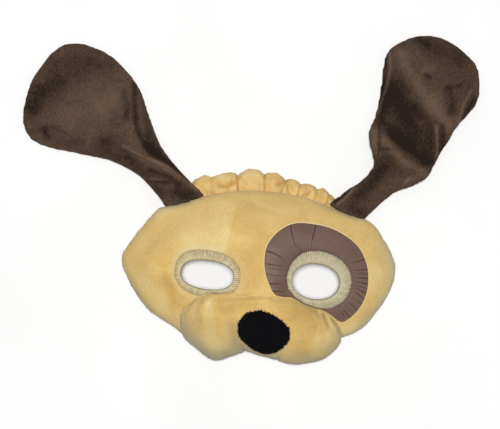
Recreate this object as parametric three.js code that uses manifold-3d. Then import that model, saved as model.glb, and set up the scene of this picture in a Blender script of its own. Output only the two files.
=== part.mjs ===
// Plush dog half mask, lying face up on a table: a padded face with two stitched eye holes, a stuffed
// muzzle with a pile nose, a satin patch round one eye, two floppy ears and a gathered head strap.
// Millimetres. +X runs to the right of someone who looks at the face, +Y towards the forehead and +Z up
// from the table. The origin is on the table, under the middle of the whole mask.

import * as THREE from "three";
import { mergeVertices } from "three/addons/utils/BufferGeometryUtils.js";
import Module from "manifold-3d";

const wasm = await Module();
wasm.setup();

// Driving dimensions

const SEAT_GAP = 0.3; // clearance between two pieces that are sewn together
const LAID_GAP = 0.65; // clearance under the thin pieces that follow the face's curve
const TABLE_DEPTH = 60; // reach of the block that flattens what lies on the table
const TABLE_SIDE = 400;

// The face is a domed wall of padding, open behind.
const FACE = { x: 5, y: -42, crown: 40, wall: 9, domePower: 2.2, eyeDent: 2.6, eyeWall: 4.4 };

// The face's rim, by bearing from the face's middle: how far out it lies, and how far its underside
// clears the table.
const FACE_RIM = [
  { bearing: 0, reach: 84.8, clearance: -2.5 },
  { bearing: 10, reach: 80.4, clearance: -0.5 },
  { bearing: 18, reach: 77, clearance: 2.5 },
  { bearing: 23, reach: 73.8, clearance: 4.5 },
  { bearing: 28, reach: 68, clearance: 6.5 },
  { bearing: 38, reach: 60.3, clearance: 7.5 },
  { bearing: 50, reach: 55, clearance: 8.5 },
  { bearing: 72, reach: 49.3, clearance: 8.5 },
  { bearing: 96, reach: 48.6, clearance: 8.5 },
  { bearing: 118, reach: 53.2, clearance: 8.5 },
  { bearing: 128, reach: 57, clearance: 8.5 },
  { bearing: 137, reach: 61, clearance: 7.8 },
  { bearing: 145, reach: 67, clearance: 7 },
  { bearing: 151, reach: 72.6, clearance: 5 },
  { bearing: 164, reach: 78.4, clearance: 1.5 },
  { bearing: 172, reach: 83.8, clearance: -1.5 },
  { bearing: 177, reach: 85.8, clearance: -2.5 },
  { bearing: 184, reach: 82, clearance: -2.5 },
  { bearing: 199, reach: 73.6, clearance: 1 },
  { bearing: 216, reach: 64.5, clearance: 5 },
  { bearing: 243, reach: 57, clearance: 9 },
  { bearing: 270, reach: 42, clearance: 13 },
  { bearing: 300, reach: 57, clearance: 9 },
  { bearing: 319, reach: 66.3, clearance: 5 },
  { bearing: 331, reach: 73.4, clearance: 2 },
  { bearing: 344, reach: 80.3, clearance: -0.5 },
];

// Each eye: its opening, and the outer edge of the stitched border round it. The edges are rounded
// ovals whose half width, half height, tilt and squareness are given.
const EYES = {
  left: {
    opening: { x: -26, y: -45.3, halfWidth: 16.2, halfHeight: 9, tilt: -7, squareness: 2.4 },
    border: { x: -26.2, y: -44.5, halfWidth: 20.2, halfHeight: 14.1, tilt: -10, squareness: 2.3 },
  },
  right: {
    opening: { x: 39.2, y: -49.5, halfWidth: 14.1, halfHeight: 10.5, tilt: -8, squareness: 2.1 },
    border: { x: 41.2, y: -48.3, halfWidth: 19.8, halfHeight: 17.3, tilt: -20, squareness: 2.2 },
  },
};
const STITCH_HEIGHT = 1.4;
const STITCH_LINING = 1.2; // thickness of the stitching that lines the cut edge
const EYE_STEPS = 34;
const EYE_BLEND = 1.75; // the padding is pinched out to this multiple of the border

// Satin patch, by bearing from its middle
const PATCH = { x: 40, y: -47, thickness: 1, edgeRadius: 0.6, firstBearing: -68, lastBearing: 212 };
const PATCH_REACH = [
  { bearing: 0, reach: 31 },
  { bearing: 32, reach: 31.4 },
  { bearing: 60, reach: 30.6 },
  { bearing: 92, reach: 31.6 },
  { bearing: 117, reach: 35 },
  { bearing: 146, reach: 35 },
  { bearing: 163, reach: 32.6 },
  { bearing: 194, reach: 28.2 },
  { bearing: 235, reach: 26.5 },
  { bearing: 272, reach: 29 },
  { bearing: 300, reach: 32 },
  { bearing: 330, reach: 31.8 },
];
// Puckers in the satin, each a furrow along one bearing
const PATCH_PUCKERS = [
  { bearing: 92, depth: 0.55, spread: 5 },
  { bearing: 113, depth: 0.6, spread: 5 },
  { bearing: 153, depth: 0.6, spread: 6 },
  { bearing: 168, depth: 0.5, spread: 5 },
  { bearing: 186, depth: 0.5, spread: 5 },
  { bearing: 199, depth: 0.45, spread: 4 },
  { bearing: 303, depth: 0.55, spread: 5 },
  { bearing: 322, depth: 0.5, spread: 4 },
  { bearing: 336, depth: 0.5, spread: 4 },
  { bearing: 350, depth: 0.5, spread: 4 },
  { bearing: 3, depth: 0.5, spread: 4 },
  { bearing: 18, depth: 0.45, spread: 4 },
];

// Muzzle sections from left to right: the seam on the face, the lower seam, and the stuffing's depth
const MUZZLE_FOOT = 5.8; // height of the lower seam above the table
const MUZZLE_SINK = 1.5; // depth of the upper seam in the face's padding
const MUZZLE_SQUARENESS = 2.25;
const MUZZLE_SECTIONS = [
  { x: -45, upper: -70.5, lower: -78, puff: 4 },
  { x: -42.5, upper: -64, lower: -82, puff: 9 },
  { x: -36.5, upper: -60, lower: -87.2, puff: 15 },
  { x: -28.5, upper: -58, lower: -92.3, puff: 19 },
  { x: -21, upper: -57, lower: -94.5, puff: 20.5 },
  { x: -12, upper: -57, lower: -91.8, puff: 20.5 },
  { x: -4, upper: -57.2, lower: -87.6, puff: 20 },
  { x: 3, upper: -57.4, lower: -88.8, puff: 20.5 },
  { x: 12, upper: -57.8, lower: -92.8, puff: 21.5 },
  { x: 22, upper: -58.8, lower: -95.5, puff: 22 },
  { x: 32, upper: -61.5, lower: -95.8, puff: 21.5 },
  { x: 42, upper: -65.5, lower: -94, puff: 18.5 },
  { x: 49.5, upper: -69, lower: -90.3, puff: 14.5 },
  { x: 54.5, upper: -73, lower: -86.3, puff: 9.5 },
  { x: 57.3, upper: -77.5, lower: -82.5, puff: 4 },
];
// Gathers in the muzzle's cloth: place along X, depth, width, and where each lies between the seam on
// the face (0) and the lower seam (1)
const MUZZLE_GATHERS = [
  { x: -34, depth: 1.1, spread: 2.2, middle: 0.12, span: 0.2 },
  { x: -27, depth: 1.4, spread: 2.2, middle: 0.16, span: 0.24 },
  { x: -3.5, depth: 1.8, spread: 2.6, middle: 0.92, span: 0.2 },
  { x: 40, depth: 1.3, spread: 2.2, middle: 0.18, span: 0.26 },
  { x: 46, depth: 1.2, spread: 2, middle: 0.2, span: 0.26 },
];

const NOSE = { x: 7.7, y: -79, z: 39, halfWidth: 16.7, halfHeight: 13.3, rise: 10.5, tilt: -22 };

// Ear sections from the face to the tip: middle, bearing from the left edge to the right one, half
// width, and the heights above the table of the left edge, the middle and the right edge. A fold rolls
// the cloth up from the left edge to a crease, whose place runs from -1 at that edge to 1 at the other.
const EAR = { puff: 4.2, underside: 2.8, fullHalf: 18, squareness: 0.7 };
const LEFT_EAR = [
  { x: -39, y: -7, across: 19, half: 11.5, left: 9.5, middle: 11, right: 11.5, crease: 0.7, fold: 0 },
  { x: -41, y: 0, across: 18, half: 11.6, left: 9.5, middle: 11, right: 11.5, crease: 0.65, fold: 1.5 },
  { x: -50.3, y: 10, across: 20, half: 10.8, left: 7.5, middle: 8, right: 7.5, crease: 0.5, fold: 4 },
  { x: -57.5, y: 17.8, across: 25, half: 10.5, left: 5.2, middle: 5, right: 4.8, crease: 0.3, fold: 5 },
  { x: -66, y: 26.2, across: 34, half: 12.2, left: 3.8, middle: 3.4, right: 3.6, crease: 0.05, fold: 5 },
  { x: -75, y: 36, across: 40, half: 17, left: 3.2, middle: 2.6, right: 4, crease: -0.25, fold: 3.4 },
  { x: -85, y: 46, across: 44, half: 25, left: 2.7, middle: 2.6, right: 3.6, crease: -0.4, fold: 1.4 },
  { x: -97.5, y: 55, across: 46, half: 32.2, left: 2.7, middle: 2.6, right: 3, crease: -0.4, fold: 0.4 },
  { x: -111, y: 63.2, across: 49, half: 35.2, left: 2.7, middle: 2.6, right: 2.7, crease: -0.3, fold: 0 },
  { x: -122, y: 72.3, across: 52, half: 30.5, left: 2.7, middle: 2.6, right: 2.7, crease: -0.2, fold: 0 },
  { x: -127.5, y: 79, across: 55, half: 20.5, left: 2.7, middle: 2.6, right: 2.7, crease: 0, fold: 0 },
  { x: -129.6, y: 82.2, across: 56, half: 10, left: 2.7, middle: 2.6, right: 2.7, crease: 0, fold: 0 },
];
const RIGHT_EAR = [
  { x: 56, y: -13, across: -25, half: 11.5, left: 10, middle: 11, right: 9, crease: -0.3, fold: 0 },
  { x: 59, y: -6.6, across: -25, half: 11.6, left: 10, middle: 11, right: 9, crease: -0.3, fold: 1 },
  { x: 67.7, y: 0.2, across: -23, half: 11.3, left: 7.2, middle: 8, right: 5.8, crease: -0.25, fold: 1.6 },
  { x: 78, y: 7.8, across: -18, half: 10.6, left: 4, middle: 5.5, right: 4.4, crease: -0.2, fold: 1 },
  { x: 86, y: 13.2, across: -22, half: 12.2, left: 3.2, middle: 4.6, right: 7, crease: -0.1, fold: 0 },
  { x: 92, y: 18.6, across: -16, half: 16.6, left: 5.5, middle: 7.6, right: 8.6, crease: 0, fold: 0 },
  { x: 93.7, y: 27.8, across: -15, half: 20.7, left: 9.6, middle: 8, right: 4, crease: 0, fold: 0 },
  { x: 96, y: 36.5, across: -11, half: 23.4, left: 8.6, middle: 4.2, right: 2.6, crease: 0, fold: 0 },
  { x: 101.5, y: 47, across: -7, half: 24.7, left: 4.4, middle: 2.6, right: 6, crease: 0, fold: 0 },
  { x: 106.7, y: 58.2, across: -8, half: 27.6, left: 2.6, middle: 4.8, right: 8.6, crease: 0, fold: 0 },
  { x: 111.2, y: 69.6, across: -9, half: 30.2, left: 2.6, middle: 7.2, right: 6, crease: 0, fold: 0 },
  { x: 111.9, y: 84, across: -6, half: 28.8, left: 5.6, middle: 6, right: 2.7, crease: 0, fold: 0 },
  { x: 110, y: 94.2, across: -4, half: 21.2, left: 4, middle: 3.2, right: 2.6, crease: 0, fold: 0 },
  { x: 109.3, y: 99, across: -3, half: 12.5, left: 2.6, middle: 2.6, right: 2.6, crease: 0, fold: 0 },
  { x: 108.6, y: 101, across: -3, half: 5, left: 2.6, middle: 2.6, right: 2.6, crease: 0, fold: 0 },
];

// The head strap is a flat tube of cloth, gathered on elastic. Its route runs from temple to temple,
// behind the forehead, and the gathers are folds at distances along it from the route's middle.
const STRAP = { halfWidth: 10.8, endHalfWidth: 6, thickness: 12, endThickness: 6, gatherPitch: 11.5 };
const STRAP_ROUTE = [
  { x: -71, y: -40 },
  { x: -62, y: -27 },
  { x: -50, y: -13.5 },
  { x: -33, y: 2 },
  { x: -15, y: 7 },
  { x: 4, y: 8.4 },
  { x: 24, y: 4 },
  { x: 42, y: -3.2 },
  { x: 58, y: -15 },
  { x: 71, y: -29 },
  { x: 80, y: -45 },
];
const STRAP_FOLDS = [-42, -30.5, -14.5, 3.5, 15.5, 26, 36.5, 46];

// Finishes

const CREAM_PLUSH = new THREE.MeshStandardMaterial({ color: 0xe3c581, roughness: 0.95, metalness: 0 });
const BROWN_PLUSH = new THREE.MeshStandardMaterial({ color: 0x43352b, roughness: 0.95, metalness: 0 });
const BLACK_PILE = new THREE.MeshStandardMaterial({ color: 0x0c0c0e, roughness: 1, metalness: 0 });
const BROWN_SATIN = new THREE.MeshStandardMaterial({ color: 0x7b5f57, roughness: 0.55, metalness: 0 });
const CREAM_THREAD = new THREE.MeshStandardMaterial({ color: 0xcfc495, roughness: 0.7, metalness: 0 });

// Small helpers

const { lerp, smoothstep, degToRad, radToDeg } = THREE.MathUtils;

// Smooth curves through a table's rows: gives every other column at a place along the key column.
function smoothTable(rows, key, closingPlace) {
  const columns = Object.keys(rows[0]).filter((name) => name !== key);
  const closed = closingPlace !== undefined;
  const all = closed ? [...rows, { ...rows[0], [key]: closingPlace }] : rows;
  const curve = new THREE.CubicInterpolant(
    all.map((row) => row[key]),
    all.flatMap((row) => columns.map((name) => row[name])),
    columns.length,
  );
  const ending = closed ? THREE.WrapAroundEnding : THREE.ZeroCurvatureEnding;
  curve.settings = { endingStart: ending, endingEnd: ending };
  return (place) => {
    const values = curve.evaluate(closed ? THREE.MathUtils.euclideanModulo(place, closingPlace) : place);
    return Object.fromEntries(columns.map((name, i) => [name, values[i]]));
  };
}

// The same, with rows taken to be evenly spaced from 0 at the first to 1 at the last
function evenTable(rows) {
  const last = rows.length - 1;
  return smoothTable(rows.map((row, i) => ({ ...row, place: i / last })), "place");
}

// Moves every vertex of a closed base geometry to where a function of its place puts it.
function reshape(base, place) {
  const position = base.getAttribute("position");
  const point = new THREE.Vector3();
  for (let i = 0; i < position.count; i += 1) {
    position.setXYZ(i, ...place(point.fromBufferAttribute(position, i)));
  }
  return base;
}

function toSolid(geometry) {
  const bare = new THREE.BufferGeometry().setAttribute("position", geometry.getAttribute("position"));
  bare.setIndex(geometry.getIndex());
  const merged = mergeVertices(bare, 1e-4);
  return new wasm.Manifold(
    new wasm.Mesh({
      numProp: 3,
      vertProperties: merged.getAttribute("position").array,
      triVerts: new Uint32Array(merged.getIndex().array),
    }),
  );
}

function toMesh(name, solid, material) {
  const { vertProperties, triVerts } = solid.getMesh();
  const geometry = new THREE.BufferGeometry();
  geometry.setAttribute("position", new THREE.BufferAttribute(vertProperties, 3));
  geometry.setIndex(new THREE.BufferAttribute(triVerts, 1));
  geometry.computeVertexNormals();
  const mesh = new THREE.Mesh(geometry, material);
  mesh.name = name;
  return mesh;
}

// A round bump from 1 at the middle to 0 at the given distance from it
function bump(distance, spread) {
  return 1 - smoothstep(Math.abs(distance), 0, spread);
}

function bearingOf(dx, dy) {
  return radToDeg(Math.atan2(dy, dx));
}

function bearingApart(a, b) {
  return THREE.MathUtils.euclideanModulo(a - b + 180, 360) - 180;
}

// A sphere with its poles up and down: its upper half becomes a top, its lower half an underside
function pillowBase(sectors, rings) {
  return new THREE.SphereGeometry(1, sectors, rings).rotateX(Math.PI / 2);
}

const table = toSolid(
  new THREE.BoxGeometry(TABLE_SIDE, TABLE_SIDE, TABLE_DEPTH).translate(0, 0, -TABLE_DEPTH / 2),
);

// Eye outlines

// Distance from an oval's middle to its edge, along a bearing
function ovalReach(oval, bearing) {
  const turned = degToRad(bearing - oval.tilt);
  const power = oval.squareness;
  const sum =
    Math.abs(Math.cos(turned) / oval.halfWidth) ** power +
    Math.abs(Math.sin(turned) / oval.halfHeight) ** power;
  return sum ** (-1 / power);
}

function ovalPoint(oval, bearing, outset = 0) {
  const reach = ovalReach(oval, bearing) + outset;
  const angle = degToRad(bearing);
  return new THREE.Vector2(oval.x + reach * Math.cos(angle), oval.y + reach * Math.sin(angle));
}

// How far out a point lies, as a share of an oval's edge
function ovalShare(oval, x, y) {
  const dx = x - oval.x;
  const dy = y - oval.y;
  return Math.hypot(dx, dy) / ovalReach(oval, bearingOf(dx, dy));
}

// 1 at an eye's border, falling to 0 where the padding is full again
function eyePinch(x, y) {
  const shares = Object.values(EYES).map((eye) => ovalShare(eye.border, x, y));
  return 1 - smoothstep(Math.min(...shares), 0.9, EYE_BLEND);
}

// Face

const faceRim = smoothTable(FACE_RIM, "bearing", 360);

// The wall's outer and inner heights at a share of the way from the face's middle to its rim
function faceHeights(x, y, share, rim, swell) {
  const half = FACE.wall / 2;
  const rimMiddle = rim.clearance + half;
  const middle = rimMiddle + (FACE.crown - half - rimMiddle) * (1 - share ** FACE.domePower);
  const fromRim = Math.min((1 - share) * rim.reach, half);
  const rounded = Math.sqrt(Math.max(0, 1 - (1 - fromRim / half) ** 2));
  const pinch = eyePinch(x, y);
  const dent = FACE.eyeDent * pinch;
  const thinned = (FACE.wall - FACE.eyeDent - FACE.eyeWall) * pinch;
  return {
    outer: middle + half * rounded - dent * rounded + swell,
    inner: middle - half * rounded + thinned * rounded - swell,
  };
}

function faceOuter(x, y) {
  const dx = x - FACE.x;
  const dy = y - FACE.y;
  const rim = faceRim(bearingOf(dx, dy));
  return faceHeights(x, y, Math.min(1, Math.hypot(dx, dy) / rim.reach), rim, 0).outer;
}

const FACE_SECTORS = 60;
const FACE_RINGS = 20;

// The padded wall, or that wall swollen by a clearance; filled, it runs down past the table instead.
function faceWall({ swell = 0, filled = false } = {}) {
  const base = pillowBase(FACE_SECTORS, FACE_RINGS);
  return toSolid(
    reshape(base, (p) => {
      const share = Math.min(1, Math.hypot(p.x, p.y));
      const bearing = bearingOf(p.x, p.y);
      const rim = faceRim(bearing);
      const reach = share * (rim.reach + swell);
      const x = FACE.x + reach * Math.cos(degToRad(bearing));
      const y = FACE.y + reach * Math.sin(degToRad(bearing));
      const { outer, inner } = faceHeights(x, y, share, rim, swell);
      const isTop = p.z > -1e-6;
      return [x, y, isTop ? outer : filled ? -TABLE_DEPTH / 2 : inner];
    }),
  );
}

// A prism through the wall, a little wider than the eye's opening and its stitched lining
function eyeCutter(eye) {
  const outline = Array.from({ length: EYE_STEPS }, (_, i) =>
    ovalPoint(eye.opening, (i * 360) / EYE_STEPS, STITCH_LINING + SEAT_GAP),
  );
  return toSolid(new THREE.ExtrudeGeometry(new THREE.Shape(outline), { depth: 80, bevelEnabled: false }));
}

const faceKeepOut = faceWall({ swell: SEAT_GAP, filled: true });

function makeFace() {
  return Object.values(EYES)
    .reduce((wall, eye) => wall.subtract(eyeCutter(eye)), faceWall())
    .subtract(table);
}

// Muzzle

const muzzleSection = smoothTable(MUZZLE_SECTIONS, "x");
const MUZZLE_AROUND = 24;
const MUZZLE_ALONG = 36;

function muzzleGather(x, share) {
  return MUZZLE_GATHERS.reduce(
    (depth, g) => depth + g.depth * bump(x - g.x, g.spread) * bump(share - g.middle, g.span),
    0,
  );
}

// Each section is a rounded oval whose long axis runs from the seam on the face to the lower seam.
function muzzlePillow(swell = 0) {
  const first = MUZZLE_SECTIONS[0].x;
  const last = MUZZLE_SECTIONS.at(-1).x;
  const base = new THREE.SphereGeometry(1, MUZZLE_AROUND, MUZZLE_ALONG).rotateZ(-Math.PI / 2);
  return toSolid(
    reshape(base, (p) => {
      const x = lerp(first, last, (p.x + 1) / 2);
      const { upper, lower, puff } = muzzleSection(x);
      const seam = new THREE.Vector2(upper, faceOuter(x, upper) - MUZZLE_SINK);
      const hem = new THREE.Vector2(lower, MUZZLE_FOOT);
      const middle = seam.clone().lerp(hem, 0.5);
      const along = hem.clone().sub(seam).multiplyScalar(0.5);
      const out = new THREE.Vector2(along.y, -along.x).normalize();
      const angle = Math.atan2(p.z, p.y);
      const power = 2 / MUZZLE_SQUARENESS;
      const atPole = Math.hypot(p.y, p.z) < 1e-6 ? 0 : 1;
      const lengthwise = -Math.sign(Math.cos(angle)) * Math.abs(Math.cos(angle)) ** power * atPole;
      const outward = Math.sign(Math.sin(angle)) * Math.abs(Math.sin(angle)) ** power * atPole;
      const depth = puff + swell - (outward > 0 ? muzzleGather(x, (lengthwise + 1) / 2) : 0);
      along.setLength(along.length() + swell);
      const place = middle.addScaledVector(along, lengthwise).addScaledVector(out, outward * depth);
      return [x + Math.sign(p.x) * (1 - atPole) * swell, place.x, place.y];
    }),
  );
}

const muzzleKeepOut = muzzlePillow(SEAT_GAP);

function makeMuzzle() {
  return muzzlePillow().subtract(faceKeepOut).subtract(table);
}

// Nose

function makeNose() {
  const pad = pillowBase(26, 12)
    .scale(NOSE.halfWidth, NOSE.halfHeight, NOSE.rise)
    .rotateZ(degToRad(NOSE.tilt))
    .translate(NOSE.x, NOSE.y, NOSE.z);
  return toSolid(pad).subtract(muzzleKeepOut);
}

// Pieces laid on the face round an eye

// Turns a closed profile into a ring. The profile's first number is a place across the ring, from 0 at
// its inner edge to 1 at its outer one, and its second is a height above the face.
function ringOnFace(profile, segments, placeAt, lift = () => 0) {
  const points = [...profile, profile[0]].map(([across, height]) => new THREE.Vector2(1 + across, height));
  const base = new THREE.LatheGeometry(points, segments).rotateX(Math.PI / 2);
  return toSolid(
    reshape(base, (p) => {
      const bearing = bearingOf(p.x, p.y);
      const across = Math.hypot(p.x, p.y) - 1;
      const place = placeAt(bearing, across);
      return [place.x, place.y, faceOuter(place.x, place.y) + p.z + lift(bearing, across, p.z)];
    }),
  );
}

const LINING_SHARE = 0.2; // place across the border where the lining of the hole ends

// Stitching: a flat border on the face whose inner edge turns down to line the hole
function makeEyeBorder(eye) {
  const top = LAID_GAP + STITCH_HEIGHT;
  const profile = [
    [1, LAID_GAP],
    [0.88, top * 0.85],
    [0.55, top],
    [0, top * 0.75],
    [0, -FACE.eyeWall],
    [LINING_SHARE, -FACE.eyeWall],
    [LINING_SHARE, LAID_GAP],
  ];
  const placeAt = (bearing, across) => {
    const lined = Math.min(across / LINING_SHARE, 1);
    const outward = Math.max((across - LINING_SHARE) / (1 - LINING_SHARE), 0);
    const lining = ovalPoint(eye.opening, bearing, STITCH_LINING * lined);
    return lining.lerp(ovalPoint(eye.border, bearing), outward);
  };
  return ringOnFace(profile, EYE_STEPS, placeAt).subtract(muzzleKeepOut);
}

const patchReach = smoothTable(PATCH_REACH, "bearing", 360);

function patchPoint(bearing, outset = 0) {
  const reach = patchReach(bearing).reach + outset;
  const angle = degToRad(bearing);
  return new THREE.Vector2(PATCH.x + reach * Math.cos(angle), PATCH.y + reach * Math.sin(angle));
}

function patchPucker(bearing, across) {
  const furrow = PATCH_PUCKERS.reduce(
    (depth, p) => Math.max(depth, p.depth * bump(bearingApart(bearing, p.bearing), p.spread)),
    0,
  );
  return -furrow * Math.sin(Math.PI * THREE.MathUtils.clamp(across, 0.1, 0.9));
}

function makePatch() {
  const top = LAID_GAP + PATCH.thickness;
  const profile = [
    [1, LAID_GAP],
    [1, top],
    [0.5, top],
    [0, top],
    [0, LAID_GAP],
    [0.5, LAID_GAP],
  ];
  const placeAt = (bearing, across) =>
    ovalPoint(EYES.right.border, bearing, SEAT_GAP).lerp(patchPoint(bearing), across);
  const lift = (bearing, across, height) => (height > LAID_GAP + 0.1 ? patchPucker(bearing, across) : 0);
  return ringOnFace(profile, 60, placeAt, lift).subtract(muzzleKeepOut);
}

// The pale turned edge of cloth round the patch
function makePatchEdge() {
  const steps = 40;
  const radius = PATCH.edgeRadius;
  const points = Array.from({ length: steps + 1 }, (_, i) => {
    const bearing = lerp(PATCH.firstBearing, PATCH.lastBearing, i / steps);
    const { x, y } = patchPoint(bearing, radius + SEAT_GAP);
    return new THREE.Vector3(x, y, faceOuter(x, y) + LAID_GAP + radius);
  });
  const section = new THREE.Shape(new THREE.Path().absarc(0, 0, radius, 0, 2 * Math.PI).getPoints(3).slice(1));
  const cord = new THREE.ExtrudeGeometry(section, {
    steps,
    bevelEnabled: false,
    extrudePath: new THREE.CatmullRomCurve3(points),
  });
  return toSolid(cord).subtract(muzzleKeepOut);
}

// Head strap

const STRAP_AROUND = 10;
const STRAP_STEPS = 74;

// Fold places over the whole strap: those in the table, then an even pitch out to both ends
function strapFolds(halfLength) {
  const folds = [...STRAP_FOLDS];
  while (folds[0] > -halfLength) folds.unshift(folds[0] - STRAP.gatherPitch);
  while (folds.at(-1) < halfLength) folds.push(folds.at(-1) + STRAP.gatherPitch);
  return folds;
}

function strapLoft(swell = 0) {
  const route = new THREE.CatmullRomCurve3(STRAP_ROUTE.map(({ x, y }) => new THREE.Vector3(x, y, 0)));
  const halfLength = route.getLength() / 2;
  const folds = strapFolds(halfLength);
  const puffAt = (distance) => {
    const next = folds.findIndex((fold) => fold > distance);
    const share = (distance - folds[next - 1]) / (folds[next] - folds[next - 1]);
    return Math.sin(Math.PI * share) ** 0.6;
  };
  const base = new THREE.CylinderGeometry(1, 1, 1, STRAP_AROUND, STRAP_STEPS).rotateX(Math.PI / 2);
  const cloth = reshape(base, (p) => {
    const along = THREE.MathUtils.clamp(p.z + 0.5, 0, 1);
    const middle = route.getPointAt(along);
    const heading = route.getTangentAt(along);
    const puff = puffAt((2 * along - 1) * halfLength * 0.999);
    const toEnd = smoothstep(Math.abs(2 * along - 1), 0.4, 1);
    const half = lerp(STRAP.halfWidth, STRAP.endHalfWidth, toEnd) * lerp(0.8, 1, puff) + swell;
    const thickness = lerp(STRAP.thickness, STRAP.endThickness, toEnd) * lerp(0.72, 1, puff) + swell;
    return [
      middle.x - heading.y * p.x * half,
      middle.y + heading.x * p.x * half,
      Math.max(0, thickness * (0.46 + 0.54 * p.y)),
    ];
  });
  return toSolid(cloth);
}

function makeStrap() {
  return strapLoft().subtract(faceWall({ swell: SEAT_GAP }));
}

// Ears

const EAR_AROUND = 22;

// A flat padded tongue lofted through its table, flattened where it lies on the table
function makeEar(rows) {
  const section = evenTable(rows);
  const base = new THREE.CylinderGeometry(1, 1, 1, EAR_AROUND, 2 * rows.length).rotateX(Math.PI / 2);
  const loft = reshape(base, (p) => {
    const s = section(p.z + 0.5);
    const onEdge = Math.hypot(p.x, p.y) < 1e-6 ? 0 : 1;
    const column = -p.x * onEdge;
    const v = column < 0 ? lerp(s.crease, -1, -column) : lerp(s.crease, 1, column);
    const roll = column < 0 ? s.fold * Math.sqrt(Math.max(0, 1 - (2 * column + 1) ** 2)) : 0;
    const bow = (s.left + s.right) / 2 - s.middle;
    const sheet = s.middle + ((s.right - s.left) / 2) * v + bow * v * v;
    const fullness = Math.abs(p.y) ** EAR.squareness * Math.sign(p.y) * onEdge;
    const puff = EAR.puff * Math.sqrt(Math.min(1, s.half / EAR.fullHalf));
    const angle = degToRad(s.across);
    const top = sheet + roll + fullness * puff;
    const underside = sheet + fullness * EAR.underside;
    return [
      s.x + v * s.half * Math.cos(angle),
      s.y + v * s.half * Math.sin(angle),
      Math.max(0, fullness > 0 ? top : underside),
    ];
  });
  return toSolid(loft).subtract(faceKeepOut).subtract(strapLoft(SEAT_GAP));
}

// Assembly

const mask = new THREE.Group();
mask.add(
  toMesh("face_panel", makeFace(), CREAM_PLUSH),
  toMesh("muzzle", makeMuzzle(), CREAM_PLUSH),
  toMesh("nose", makeNose(), BLACK_PILE),
  toMesh("eye_border_left", makeEyeBorder(EYES.left), CREAM_THREAD),
  toMesh("eye_border_right", makeEyeBorder(EYES.right), CREAM_THREAD),
  toMesh("eye_patch", makePatch(), BROWN_SATIN),
  toMesh("patch_edge", makePatchEdge(), CREAM_THREAD),
  toMesh("ear_left", makeEar(LEFT_EAR), BROWN_PLUSH),
  toMesh("ear_right", makeEar(RIGHT_EAR), BROWN_PLUSH),
  toMesh("head_strap", makeStrap(), CREAM_PLUSH),
);

export default mask;
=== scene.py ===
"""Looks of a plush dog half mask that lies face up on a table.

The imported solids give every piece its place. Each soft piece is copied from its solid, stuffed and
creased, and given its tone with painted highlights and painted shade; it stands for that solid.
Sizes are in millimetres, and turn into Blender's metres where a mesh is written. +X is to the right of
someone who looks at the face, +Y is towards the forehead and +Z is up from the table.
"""

import logging
import math
from collections.abc import Callable, Sequence
from dataclasses import dataclass
from enum import Enum
from typing import ClassVar

import bmesh
import bpy
import numpy as np
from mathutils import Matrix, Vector
from mathutils.bvhtree import BVHTree


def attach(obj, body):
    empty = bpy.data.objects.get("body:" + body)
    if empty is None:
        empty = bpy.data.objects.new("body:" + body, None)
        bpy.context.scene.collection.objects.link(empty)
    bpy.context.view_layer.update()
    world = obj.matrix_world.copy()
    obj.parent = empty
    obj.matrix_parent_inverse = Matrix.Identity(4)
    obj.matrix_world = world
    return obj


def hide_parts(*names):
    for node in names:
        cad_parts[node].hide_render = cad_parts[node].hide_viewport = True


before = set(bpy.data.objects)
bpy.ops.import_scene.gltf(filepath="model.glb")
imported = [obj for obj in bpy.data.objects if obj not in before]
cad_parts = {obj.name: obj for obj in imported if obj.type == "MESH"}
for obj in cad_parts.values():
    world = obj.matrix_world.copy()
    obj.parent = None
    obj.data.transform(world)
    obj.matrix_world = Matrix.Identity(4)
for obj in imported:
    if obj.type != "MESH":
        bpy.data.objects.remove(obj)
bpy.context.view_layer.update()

LOG = logging.getLogger("dog_mask")
MM = 0.001
BODY = "root"
# Stored values: each point's tone with painted highlights and painted shade, and its painted grey shade
TONE_AND_SHADE = "tone_and_shade"
GREY_SHADE = "turn"

# Lowest height of a point above the table, height from which surfaces are felt for, and distance at
# which points are welded
TABLE_GAP = 0.05
SKY_HEIGHT = 200.0
WELD = 0.01

# How far a surface has to turn up for a crease to come to its full depth, how far past upright a stroke
# still shows, how late the painted grey shade sets in on a slope, and how much less of it slopes facing +Y
# get
CREASE_BLEND = 0.3
STROKE_REACH = 0.3
GREY_SHADE_POWER = 1.4
GREY_SHADE_SPARED = 0.9

# Factor that the shader's wave pattern puts on its scale
WAVE_SCALE = 20

Colour = tuple[int, int, int]
Spot = tuple[float, float]
Triple = tuple[float, float, float]
Route = tuple[Spot, ...]
Heights = Callable[[np.ndarray], np.ndarray]
Socket = bpy.types.NodeSocket


class Slot(Enum):
    """Material slots of the record."""

    CREAM_PLUSH = "cream_plush"
    BROWN_PLUSH = "brown_plush"
    BLACK_PILE = "black_pile"
    BROWN_SATIN = "brown_satin"
    CREAM_THREAD = "cream_thread"


class Fade(Enum):
    """Where along its length a crease dies away."""

    BOTH_ENDS = "both ends"
    FAR_END = "far end"
    NOWHERE = "nowhere"


BOTH_ENDS, FAR_END, NOWHERE = Fade

# Lines drawn over the cloth


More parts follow.
